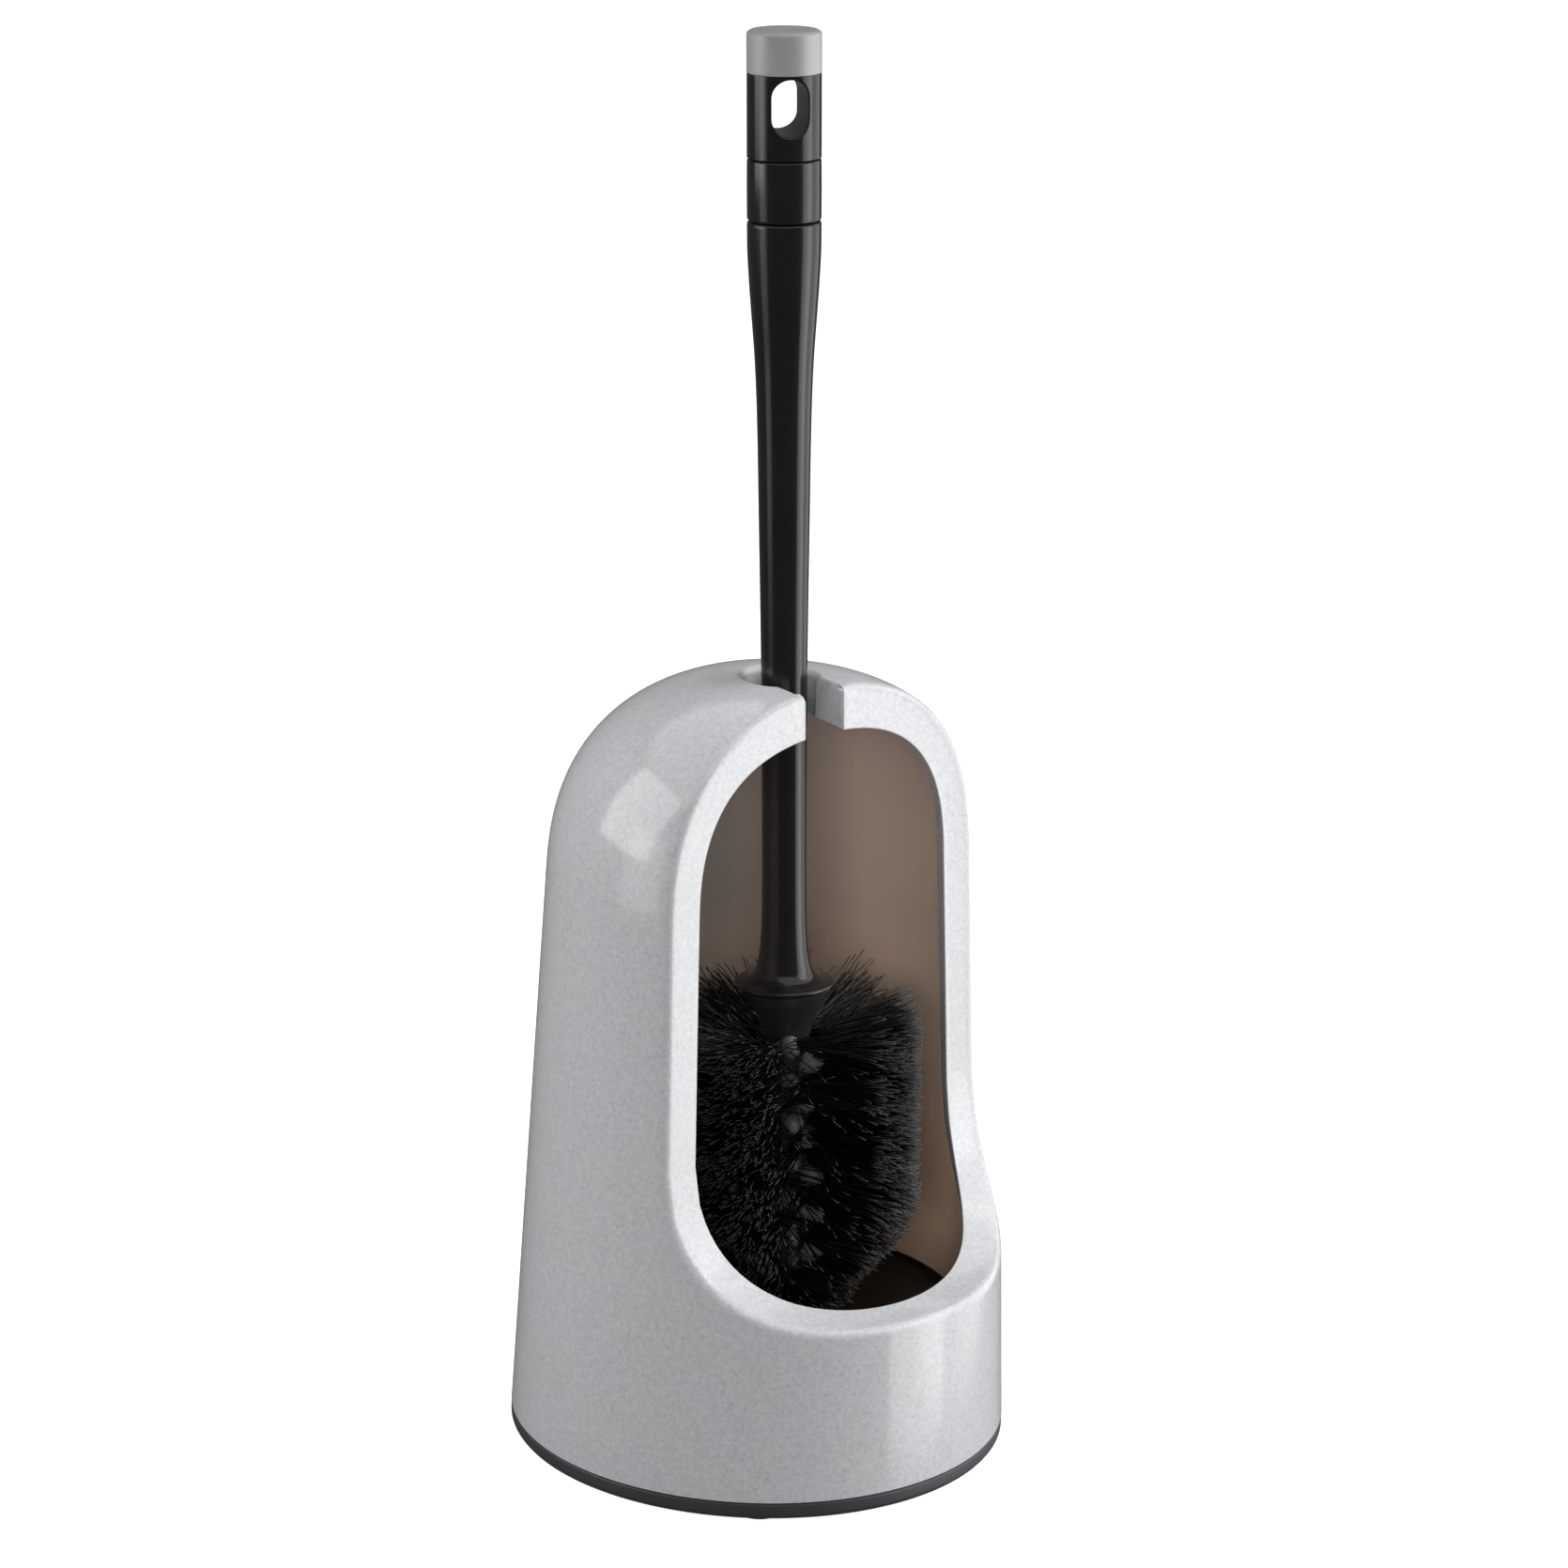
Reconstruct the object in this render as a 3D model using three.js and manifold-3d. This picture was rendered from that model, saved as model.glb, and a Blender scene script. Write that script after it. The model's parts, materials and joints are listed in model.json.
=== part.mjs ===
// Toilet brush holder: a double-walled stand, open at the front, with a loose brush standing in it.
// Millimetres, +Z up, origin on the floor under the middle of the round base.
// The opening and the slot in the dome face -Y. The brush leans back a little towards +Y.

import * as THREE from 'three';
import { mergeVertices } from 'three/addons/utils/BufferGeometryUtils.js';
import Module from 'manifold-3d';

const wasm = await Module();
wasm.setup();

// Clearance kept between pieces that touch
const GAP = 0.3;

// Stand: outside surface
const BASE_RADIUS = 65;
const BASE_TOP = 5;
const CONE_TOP = 152.5;
const CONE_TAPER = 6.5 / 147.5;
const DOME_TOP = 205.4;
const DOME_POWER = 2.445;

// Stand: the two walls, measured inwards from the outside surface
const SHELL_WALL = 3;
const LINER_WALL = 2;
const WALL_DEPTH = 10.2;
const LINER_TOP = 194;
const LINER_POWER = 2.655;
const FOOT_OF_LINER = 3.4;

// Rim of the opening: a plane leaning back, which bends forward into the lip
const RIM_LEAN = Math.atan(0.0444);
const RIM_BEND_RADIUS = 41.5;
const RIM_BEND_Y = -62.4;
const RIM_BEND_Z = 91.2;
const RIM_THICKNESS = 3;

// Keyhole in the dome: a round hole with a slot to the front
const HOLE_RADIUS = 9.3;
const SLOT_WIDTH = 13.5;
const KEYHOLE_BOTTOM = 172;
const KEYHOLE_WALL = 2.5;

// Base: plate, feet and screws
const PLATE_BOTTOM = 0.6;
const PLATE_WEB_TOP = 3;
const SPIGOT_OUTER = 61.4;
const SPIGOT_INNER = 57.2;
const SPIGOT_TOP = 10.2;
const FOOT_RADIUS = 6.5;
const FOOT_CIRCLE = 57.2;
const SCREW_CIRCLE = 59.8;
const SCREW_RADIUS = 1.3;
const SCREW_HEAD_RADIUS = 2.2;
const SCREW_TOP = 20;
const BOSS_RADIUS = 2.9;
const BOSS_TOP = 24;

// Drip tray: a raised floor on a skirt
const TRAY_TOP = 30;
const TRAY_WALL = 2;
const TRAY_RADIUS = 53.2;
const TRAY_FOOT_RADIUS = 54.2;

// Brush: its axis stands on the floor at BRUSH_FOOT_Y and leans back
const BRUSH_LEAN = Math.atan(0.0436);
const BRUSH_FOOT_Y = -10.42;

// Brush: places along its axis
const CAP_TOP = 369.5;
const CAP_BOTTOM = 358.6;
const GRIP_BOTTOM = 337.6;
const BAND_BOTTOM = 322.2;
const SHAFT_SHOULDER = 321.8;
const FLANGE_BOTTOM = 123.4;
const CORE_BOTTOM = 42;
const TIP_BOTTOM = 31.6;

// Brush: radii
const GRIP_RADIUS = 9.3;
const CAP_RADIUS = 9.36;
const STUD_RADIUS = 5.5;
const CORE_RADIUS = 6.9;
const COLLAR_RADIUS = 11.6;
const CORE_STUD_RADIUS = 4.1;
const FLANGE_RADIUS = 13;
const HEAD_RADIUS = 35.5;

// Hanging slot through the grip, turned from the front
const HANG_SLOT_WIDTH = 9.2;
const HANG_SLOT_BOTTOM = 343.6;
const HANG_SLOT_TOP = 357.7;
const HANG_SLOT_TURN = THREE.MathUtils.degToRad(-35);

// Rows of bristles on the core
const ROW_COUNT = 9;
const ROW_PITCH = 7.2;
const ROW_START = 46;
const ROW_FAN = 1.17;
const ROW_FAN_CENTRE = 78;

const FINISH = {
  speckledGrey: { color: 0xc9cccd, roughness: 0.28, metalness: 0 },
  taupe: { color: 0x6e6156, roughness: 0.38, metalness: 0 },
  trayBlack: { color: 0x16130f, roughness: 0.5, metalness: 0 },
  charcoal: { color: 0x2d3030, roughness: 0.55, metalness: 0 },
  rubber: { color: 0x1b1c1c, roughness: 0.8, metalness: 0 },
  steel: { color: 0x9b9b98, roughness: 0.35, metalness: 1 },
  handleBlack: { color: 0x111011, roughness: 0.22, metalness: 0 },
  capGrey: { color: 0x858585, roughness: 0.35, metalness: 0 },
  bristleBlack: { color: 0x0c0c0d, roughness: 0.5, metalness: 0 },
};

// Turns a closed geometry into a manifold solid with its faces outwards
function solid(geometry) {
  const bare = geometry.clone();
  bare.deleteAttribute('normal');
  bare.deleteAttribute('uv');
  const merged = mergeVertices(bare, 1e-4);
  const corners = merged.attributes.position;
  const index = merged.index.array;
  const triVerts = [];
  const [a, b, c] = [new THREE.Vector3(), new THREE.Vector3(), new THREE.Vector3()];
  let volume = 0;
  for (let i = 0; i < index.length; i += 3) {
    const [p, q, r] = [index[i], index[i + 1], index[i + 2]];
    if (p === q || q === r || r === p) {
      continue;
    }
    triVerts.push(p, q, r);
    a.fromBufferAttribute(corners, p);
    b.fromBufferAttribute(corners, q);
    c.fromBufferAttribute(corners, r);
    volume += a.dot(b.cross(c));
  }
  if (volume < 0) {
    triVerts.reverse();
  }
  const mesh = new wasm.Mesh({
    numProp: 3,
    vertProperties: Float32Array.from(corners.array),
    triVerts: Uint32Array.from(triVerts),
  });
  return new wasm.Manifold(mesh);
}

// Turns a manifold solid back into a geometry
function geometryOf(body) {
  const { vertProperties, triVerts } = body.getMesh();
  const geometry = new THREE.BufferGeometry();
  geometry.setAttribute('position', new THREE.BufferAttribute(vertProperties, 3));
  geometry.setIndex(new THREE.BufferAttribute(triVerts, 1));
  geometry.computeVertexNormals();
  return geometry;
}

// Revolves an outline of [radius, height] points about the Z axis
function revolve(outline, segments) {
  const points = outline.map(([radius, height]) => new THREE.Vector2(radius, height));
  return solid(new THREE.LatheGeometry(points, segments).rotateX(Math.PI / 2));
}

// An upright cylinder
function post(radius, bottom, top, [x, y] = [0, 0], segments = 12) {
  const cylinder = new THREE.CylinderGeometry(radius, radius, top - bottom, segments);
  return solid(cylinder.rotateX(Math.PI / 2).translate(x, y, (bottom + top) / 2));
}

// The quarter turns where the feet, screws and bosses sit, as [x, y] on a circle
function quarters(circle) {
  return [1, 3, 5, 7].map((eighth) => {
    const angle = (eighth * Math.PI) / 4;
    return [circle * Math.cos(angle), circle * Math.sin(angle)];
  });
}

function coneRadius(height) {
  return BASE_RADIUS - (height - BASE_TOP) * CONE_TAPER;
}

// A solid bounded by the stand's outside surface taken in by inset, with its own dome top:
// a cone below, and above it radius = cone * cos^(2/power), height = sin^(2/power)
function standBody(inset, domeTop, power, bottom) {
  const steps = 8;
  const outline = [[0, bottom], [coneRadius(bottom) - inset, bottom]];
  for (let i = 0; i < steps; i += 1) {
    const angle = (i / steps) * (Math.PI / 2);
    const height = CONE_TOP + (domeTop - CONE_TOP) * Math.sin(angle) ** (2 / power);
    const radius = (coneRadius(height) - inset) * Math.cos(angle) ** (2 / power);
    outline.push([radius, height]);
  }
  outline.push([0, domeTop]);
  return revolve(outline, 60);
}

// Everything in front of the rim, taken back by offset
function frontOfRim(offset) {
  const width = 160;
  const reach = 150;
  const radius = RIM_BEND_RADIUS + offset;
  const bendY = RIM_BEND_Y + radius * Math.cos(RIM_LEAN);
  const bendZ = RIM_BEND_Z - radius * Math.sin(RIM_LEAN);
  const side = new THREE.Shape();
  side.moveTo(bendY + reach * Math.sin(RIM_LEAN), bendZ + reach * Math.cos(RIM_LEAN));
  side.lineTo(bendY, bendZ);
  side.absarc(RIM_BEND_Y, RIM_BEND_Z, radius, -RIM_LEAN, -Math.PI / 2, true);
  side.lineTo(-reach, RIM_BEND_Z - radius);
  side.lineTo(-reach, bendZ + reach * Math.cos(RIM_LEAN));
  const extruded = new THREE.ExtrudeGeometry(side, {
    depth: width,
    bevelEnabled: false,
    curveSegments: 10,
  });
  const sideToYZ = new THREE.Matrix4().makeBasis(
    new THREE.Vector3(0, 1, 0),
    new THREE.Vector3(0, 0, 1),
    new THREE.Vector3(1, 0, 0),
  );
  return solid(extruded.applyMatrix4(sideToYZ).translate(-width / 2, 0, 0));
}

// The keyhole through the dome, grown by offset
function keyhole(offset) {
  const reach = 60;
  const top = DOME_TOP + 5;
  const slot = new THREE.BoxGeometry(SLOT_WIDTH + 2 * offset, reach, top - KEYHOLE_BOTTOM);
  slot.translate(0, -reach / 2, (top + KEYHOLE_BOTTOM) / 2);
  return post(HOLE_RADIUS + offset, KEYHOLE_BOTTOM, top, [0, 0], 24).add(solid(slot));
}

// Outer shell: the speckled wall, the rim turned in round the opening, and the screw bosses
function outerShell() {
  const inside = standBody(WALL_DEPTH, LINER_TOP, LINER_POWER, 2);
  const hollow = standBody(SHELL_WALL, DOME_TOP - SHELL_WALL, DOME_POWER, 2)
    .subtract(frontOfRim(RIM_THICKNESS))
    .subtract(keyhole(KEYHOLE_WALL));
  let shell = standBody(0, DOME_TOP, DOME_POWER, BASE_TOP + GAP)
    .subtract(frontOfRim(0))
    .subtract(keyhole(0))
    .subtract(inside)
    .subtract(hollow);
  for (const place of quarters(SCREW_CIRCLE)) {
    shell = shell
      .add(post(BOSS_RADIUS, SPIGOT_TOP + GAP, BOSS_TOP, place))
      .subtract(post(SCREW_RADIUS + GAP, SPIGOT_TOP, SCREW_TOP + 1, place));
  }
  return shell;
}

// Inner liner: the taupe wall round the brush, up to the back of the rim
function innerLiner() {
  const outerInset = WALL_DEPTH - LINER_WALL;
  return standBody(outerInset, LINER_TOP + LINER_WALL, LINER_POWER, FOOT_OF_LINER)
    .subtract(standBody(WALL_DEPTH, LINER_TOP, LINER_POWER, FOOT_OF_LINER - 1))
    .subtract(frontOfRim(RIM_THICKNESS + GAP))
    .subtract(keyhole(KEYHOLE_WALL + GAP));
}

// Drip tray: the black floor under the brush, on a skirt
function dripTray() {
  return revolve([
    [0, TRAY_TOP - TRAY_WALL],
    [TRAY_RADIUS - TRAY_WALL, TRAY_TOP - TRAY_WALL],
    [TRAY_FOOT_RADIUS - TRAY_WALL, FOOT_OF_LINER],
    [TRAY_FOOT_RADIUS, FOOT_OF_LINER],
    [TRAY_RADIUS, TRAY_TOP - 0.6],
    [TRAY_RADIUS - 0.6, TRAY_TOP],
    [0, TRAY_TOP],
  ], 48);
}

// Base plate: the dark ring seen under the shell, with its web and the spigot that centres the shell
function basePlate() {
  let plate = revolve([
    [0, PLATE_BOTTOM],
    [BASE_RADIUS - 0.8, PLATE_BOTTOM],
    [BASE_RADIUS, PLATE_BOTTOM + 0.8],
    [BASE_RADIUS, BASE_TOP - 0.3],
    [BASE_RADIUS - 0.4, BASE_TOP],
    [SPIGOT_OUTER, BASE_TOP],
    [SPIGOT_OUTER, SPIGOT_TOP],
    [SPIGOT_INNER, SPIGOT_TOP],
    [SPIGOT_INNER, PLATE_WEB_TOP],
    [0, PLATE_WEB_TOP],
  ], 60);
  for (const place of quarters(FOOT_CIRCLE)) {
    plate = plate.subtract(post(FOOT_RADIUS + GAP, 0, PLATE_BOTTOM + 1, place, 16));
  }
  for (const place of quarters(SCREW_CIRCLE)) {
    plate = plate
      .subtract(post(SCREW_HEAD_RADIUS + GAP, 0, 4.2, place))
      .subtract(post(SCREW_RADIUS + GAP, 0, SPIGOT_TOP + 1, place));
  }
  return plate;
}

function footPad() {
  return revolve([
    [0, 0],
    [FOOT_RADIUS - 0.5, 0],
    [FOOT_RADIUS, 0.4],
    [FOOT_RADIUS, PLATE_BOTTOM + 1 - GAP],
    [0, PLATE_BOTTOM + 1 - GAP],
  ], 16);
}

function baseScrew() {
  return revolve([
    [0, 2.2],
    [SCREW_HEAD_RADIUS - 0.3, 2.2],
    [SCREW_HEAD_RADIUS, 2.5],
    [SCREW_HEAD_RADIUS, 3.9],
    [SCREW_RADIUS, 3.9],
    [SCREW_RADIUS, SCREW_TOP - 1.6],
    [0, SCREW_TOP],
  ], 10);
}

// Handle shaft: a long taper that flares into the splash flange, bored for the core's stud
// and turned down at the top to carry the band and the grip
function handleShaft() {
  return revolve([
    [0, 135.5],
    [CORE_STUD_RADIUS + GAP, 135.5],
    [CORE_STUD_RADIUS + GAP, FLANGE_BOTTOM],
    [FLANGE_RADIUS - 0.6, FLANGE_BOTTOM],
    [FLANGE_RADIUS, FLANGE_BOTTOM + 0.5],
    [FLANGE_RADIUS, FLANGE_BOTTOM + 1.5],
    [FLANGE_RADIUS - 0.6, FLANGE_BOTTOM + 2.0],
    [7.8, 126.3],
    [7.0, 128],
    [6.3, 132],
    [5.95, 138],
    [5.8, 148],
    [5.75, 170],
    [5.95, 209.5],
    [6.5, 249],
    [7.0, 278],
    [7.45, 287.5],
    [8.84, 307],
    [GRIP_RADIUS, 316],
    [GRIP_RADIUS, SHAFT_SHOULDER - 0.4],
    [GRIP_RADIUS - 0.4, SHAFT_SHOULDER],
    [STUD_RADIUS, SHAFT_SHOULDER],
    [STUD_RADIUS, GRIP_BOTTOM + 3],
    [0, GRIP_BOTTOM + 3],
  ], 28);
}

// Grip band: a sleeve between two fine grooves
function gripBand() {
  const bore = STUD_RADIUS + GAP;
  const top = GRIP_BOTTOM - 0.4;
  return revolve([
    [bore, BAND_BOTTOM],
    [GRIP_RADIUS - 0.4, BAND_BOTTOM],
    [GRIP_RADIUS - 0.05, BAND_BOTTOM + 0.4],
    [GRIP_RADIUS - 0.05, top - 0.4],
    [GRIP_RADIUS - 0.4, top],
    [bore, top],
    [bore, BAND_BOTTOM],
  ], 28);
}

// The two peg places beside the hanging slot, which hold the end cap
function pegPlaces() {
  return [-1, 1].map((side) => {
    const reach = side * 6.9;
    return [reach * Math.cos(HANG_SLOT_TURN), reach * Math.sin(HANG_SLOT_TURN)];
  });
}

// The hanging slot: an upright slot with round ends, right through the grip
function hangingSlot() {
  const depth = 30;
  const half = HANG_SLOT_WIDTH / 2;
  const outline = new THREE.Shape();
  outline.absarc(0, HANG_SLOT_TOP - half, half, 0, Math.PI, false);
  outline.absarc(0, HANG_SLOT_BOTTOM + half, half, Math.PI, 2 * Math.PI, false);
  const extruded = new THREE.ExtrudeGeometry(outline, {
    depth,
    bevelEnabled: false,
    curveSegments: 8,
  });
  extruded.translate(0, 0, -depth / 2).rotateX(Math.PI / 2).rotateZ(HANG_SLOT_TURN);
  return solid(extruded);
}

// Grip top: the hanging end of the handle
function gripTop() {
  const top = CAP_BOTTOM - GAP;
  const bore = STUD_RADIUS + GAP;
  let grip = revolve([
    [0, GRIP_BOTTOM + 3.4],
    [bore, GRIP_BOTTOM + 3.4],
    [bore, GRIP_BOTTOM],
    [GRIP_RADIUS - 0.4, GRIP_BOTTOM],
    [GRIP_RADIUS, GRIP_BOTTOM + 0.4],
    [GRIP_RADIUS, top],
    [0, top],
  ], 28).subtract(hangingSlot());
  for (const place of pegPlaces()) {
    grip = grip.subtract(post(1.4, top - 4.2, top + 1, place, 12));
  }
  return grip;
}

// End cap: a shallow domed cap on two pegs
function endCap() {
  let cap = revolve([
    [0, CAP_BOTTOM],
    [CAP_RADIUS, CAP_BOTTOM],
    [CAP_RADIUS, CAP_TOP - 1.7],
    [CAP_RADIUS - 0.25, CAP_TOP - 0.9],
    [CAP_RADIUS - 0.9, CAP_TOP - 0.35],
    [0, CAP_TOP],
  ], 28);
  for (const place of pegPlaces()) {
    cap = cap.add(post(1.1, CAP_BOTTOM - 4, CAP_BOTTOM + 1, place, 12));
  }
  return cap;
}

// Head core: the rod that holds the bristles, its collar, and the stud that plugs into the shaft
function headCore() {
  const collarTop = FLANGE_BOTTOM - 0.4;
  return revolve([
    [0, CORE_BOTTOM],
    [4.8, CORE_BOTTOM + 0.4],
    [CORE_RADIUS - 0.2, CORE_BOTTOM + 2.2],
    [CORE_RADIUS, CORE_BOTTOM + 3.2],
    [CORE_RADIUS, 112.4],
    [8.3, 115.6],
    [COLLAR_RADIUS - 0.7, 119.6],
    [COLLAR_RADIUS, 121.4],
    [COLLAR_RADIUS, collarTop - 0.5],
    [COLLAR_RADIUS - 0.5, collarTop],
    [CORE_STUD_RADIUS, collarTop],
    [CORE_STUD_RADIUS, 135],
    [0, 135],
  ], 24);
}

// One row of bristles: a ring that fans out a little towards the ends of the head
function bristleRow(row) {
  const fan = (place) => ROW_FAN_CENTRE + (place - ROW_FAN_CENTRE) * ROW_FAN;
  const bottom = ROW_START + row * ROW_PITCH;
  const top = bottom + ROW_PITCH - 0.4;
  const middle = fan((bottom + top) / 2);
  const roundOff = Math.max(0, (60 - middle) / 15) ** 2;
  const reach = HEAD_RADIUS - 4.5 * roundOff;
  const root = CORE_RADIUS + 0.4;
  return revolve([
    [root, bottom],
    [reach - 1.2, fan(bottom)],
    [reach, middle],
    [reach - 1.2, fan(top)],
    [root, top],
    [root, bottom],
  ], 24);
}

// Bristles at the tip: they fan out below the end of the core
function bristleTip() {
  return revolve([
    [0, TIP_BOTTOM],
    [14, TIP_BOTTOM + 0.2],
    [22, TIP_BOTTOM + 2.6],
    [27.5, TIP_BOTTOM + 6],
    [29, TIP_BOTTOM + 8.2],
    [CORE_RADIUS + 0.6, ROW_START - 0.7],
    [CORE_RADIUS + 0.3, CORE_BOTTOM + 2],
    [4.9, CORE_BOTTOM],
    [0, CORE_BOTTOM - 0.4],
  ], 24);
}

function piece(name, body, { color, roughness, metalness }) {
  const material = new THREE.MeshStandardMaterial({ color, roughness, metalness });
  const mesh = new THREE.Mesh(geometryOf(body), material);
  mesh.name = name;
  return mesh;
}

// One copy of a piece at each quarter turn, numbered from 1
function pieceAtQuarters(name, circle, makeBody, finish) {
  return quarters(circle).map(([x, y], i) => {
    const mesh = piece(`${name}_${i + 1}`, makeBody(), finish);
    mesh.position.set(x, y, 0);
    return mesh;
  });
}

function makeStand() {
  const stand = new THREE.Group();
  stand.add(
    piece('outer_shell', outerShell(), FINISH.speckledGrey),
    piece('inner_liner', innerLiner(), FINISH.taupe),
    piece('drip_tray', dripTray(), FINISH.trayBlack),
    piece('base_plate', basePlate(), FINISH.charcoal),
    ...pieceAtQuarters('foot_pad', FOOT_CIRCLE, footPad, FINISH.rubber),
    ...pieceAtQuarters('base_screw', SCREW_CIRCLE, baseScrew, FINISH.steel),
  );
  return stand;
}

function makeBrush() {
  const brush = new THREE.Group();
  brush.position.set(0, BRUSH_FOOT_Y, 0);
  brush.rotation.x = -BRUSH_LEAN;
  brush.add(
    piece('end_cap', endCap(), FINISH.capGrey),
    piece('grip_top', gripTop(), FINISH.handleBlack),
    piece('grip_band', gripBand(), FINISH.handleBlack),
    piece('handle_shaft', handleShaft(), FINISH.handleBlack),
    piece('head_core', headCore(), FINISH.charcoal),
    piece('bristle_tip', bristleTip(), FINISH.bristleBlack),
  );
  for (let row = 0; row < ROW_COUNT; row += 1) {
    brush.add(piece(`bristle_row_${row + 1}`, bristleRow(row), FINISH.bristleBlack));
  }
  return brush;
}

const brushHolder = new THREE.Group();
brushHolder.add(makeStand(), makeBrush());

export default brushHolder;
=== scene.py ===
"""A toilet brush holder: a speckled double-walled stand with a taupe lining, and the loose brush that stands in it.

Metres, +Z up, the opening faces -Y. Every piece is a surface worked out on a grid of two parameters. A point of a
grid is an array [..., 3]; a piece is a list of grids whose shared edges are merged.
"""

import json
import math

import bmesh
import bpy
import numpy as np
from mathutils import Matrix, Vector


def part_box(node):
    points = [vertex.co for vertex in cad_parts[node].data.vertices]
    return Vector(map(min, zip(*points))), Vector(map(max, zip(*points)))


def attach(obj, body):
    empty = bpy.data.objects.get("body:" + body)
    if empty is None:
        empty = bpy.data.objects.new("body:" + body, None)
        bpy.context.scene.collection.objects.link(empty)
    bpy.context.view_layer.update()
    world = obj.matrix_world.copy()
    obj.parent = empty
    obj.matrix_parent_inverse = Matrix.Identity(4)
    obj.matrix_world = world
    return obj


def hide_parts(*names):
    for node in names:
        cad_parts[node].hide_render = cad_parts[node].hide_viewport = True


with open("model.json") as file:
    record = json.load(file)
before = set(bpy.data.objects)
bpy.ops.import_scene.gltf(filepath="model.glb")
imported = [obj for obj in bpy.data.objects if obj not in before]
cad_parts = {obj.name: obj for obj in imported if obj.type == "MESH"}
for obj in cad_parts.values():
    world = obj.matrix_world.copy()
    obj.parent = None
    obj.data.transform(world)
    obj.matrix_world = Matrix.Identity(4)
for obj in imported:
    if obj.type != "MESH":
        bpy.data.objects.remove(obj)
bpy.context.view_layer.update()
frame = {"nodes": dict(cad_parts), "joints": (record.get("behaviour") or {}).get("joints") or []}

MM = 0.001

# Stand: the outside surface is a cone with a domed top
SHELL_LOW, SHELL_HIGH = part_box("outer_shell")
BASE_RADIUS = -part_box("base_plate")[0].x
BASE_TOP = 5.0 * MM
CONE_TOP = 152.5 * MM
CONE_TAPER = 6.5 / 147.5
DOME_TOP = 205.4 * MM
DOME_POWER = 2.445
SHELL_WALL = 3.0 * MM
LINER_WALL = 2.0 * MM
WALL_DEPTH = 10.2 * MM
LINER_TOP = 194.0 * MM
LINER_POWER = 2.655
LINER_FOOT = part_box("inner_liner")[0].z

# Rim of the opening: a plane that leans back and bends forward into the lip
RIM_LEAN = math.atan(0.0444)
RIM_RADIUS = 41.5 * MM
RIM_Y = -62.4 * MM
RIM_Z = 91.2 * MM
RIM_THICKNESS = 3.0 * MM
RIM_ROUND = 2.1 * MM
RIM_INNER_ROUND = 0.55 * MM

# Keyhole in the dome
HOLE_RADIUS = 9.3 * MM
SLOT_HALF = 6.75 * MM
KEYHOLE_WALL = 2.5 * MM
GAP = 0.3 * MM

# Tray: its edge stands this much above its floor
TRAY_EDGE = 3.0 * MM

# Brush: its axis, from the record's lift joint, and the place where it meets the floor
LIFT = np.array(frame["joints"][0]["axis"], float)
BRUSH_LEAN = math.atan2(LIFT[1], LIFT[2])
BRUSH_FOOT = np.array([0.0, -10.42 * MM, 0.0])

# Brush: places along its axis and radii
CAP_TOP = 369.5 * MM
CAP_BOTTOM = 358.6 * MM
GRIP_BOTTOM = 337.6 * MM
BAND_BOTTOM = 322.2 * MM
FLANGE_BOTTOM = 123.4 * MM
CORE_BOTTOM = 42.0 * MM
TIP_BOTTOM = 31.6 * MM
GRIP_RADIUS = 9.3 * MM
CAP_RADIUS = 9.36 * MM
CORE_RADIUS = 6.9 * MM
COLLAR_RADIUS = 11.6 * MM
FLANGE_RADIUS = 13.0 * MM
HEAD_RADIUS = 35.5 * MM
SHAFT_STATIONS = MM * np.array(
    [
        [8.3, 126.5],
        [7.6, 127.6],
        [7.05, 129.1],
        [6.65, 131.0],
        [6.35, 133.4],
        [6.08, 137.0],
        [5.88, 142.0],
        [5.78, 150.0],
        [5.78, 165.0],
        [5.82, 185.0],
        [5.95, 209.5],
        [6.2, 229.0],
        [6.5, 249.0],
        [6.75, 266.0],
        [7.05, 278.0],
        [7.5, 288.0],
        [8.15, 297.0],
        [8.85, 307.0],
        [9.25, 315.0],
        [9.3, 320.6],
    ]
)
HANG_SLOT_HALF = 4.6 * MM
HANG_SLOT_BOTTOM = 343.6 * MM
HANG_SLOT_TOP = 357.7 * MM
HANG_SLOT_TURN = math.radians(-35)
ROW_COUNT = 9
ROW_PITCH = 7.2 * MM
ROW_START = 46.0 * MM
ROW_FAN = 1.17
ROW_FAN_CENTRE = 78.0 * MM

# The core's bare seam: where it faces about the brush's axis, and its bosses
SEAM_TURN = math.radians(-115)
SEAM_HALF = math.radians(24)
SEAM_TOP = 108.5 * MM
SEAM_BOSS_LEAN = math.radians(15)
SEAM_BOSS_TURN = math.radians(24)

# Camera: where the opening points from the view, and the lens
VIEW_TURN = math.radians(46.3)
VIEW_DISTANCE = 1.26918
VIEW_HEIGHT = 0.57041
VIEW_PITCH = 0.3012
VIEW_YAW = 0.0015
VIEW_ROLL = 0.0327
VIEW_LENS = 119.36


# ---------------------------------------------------------------- grids and meshes


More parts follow.
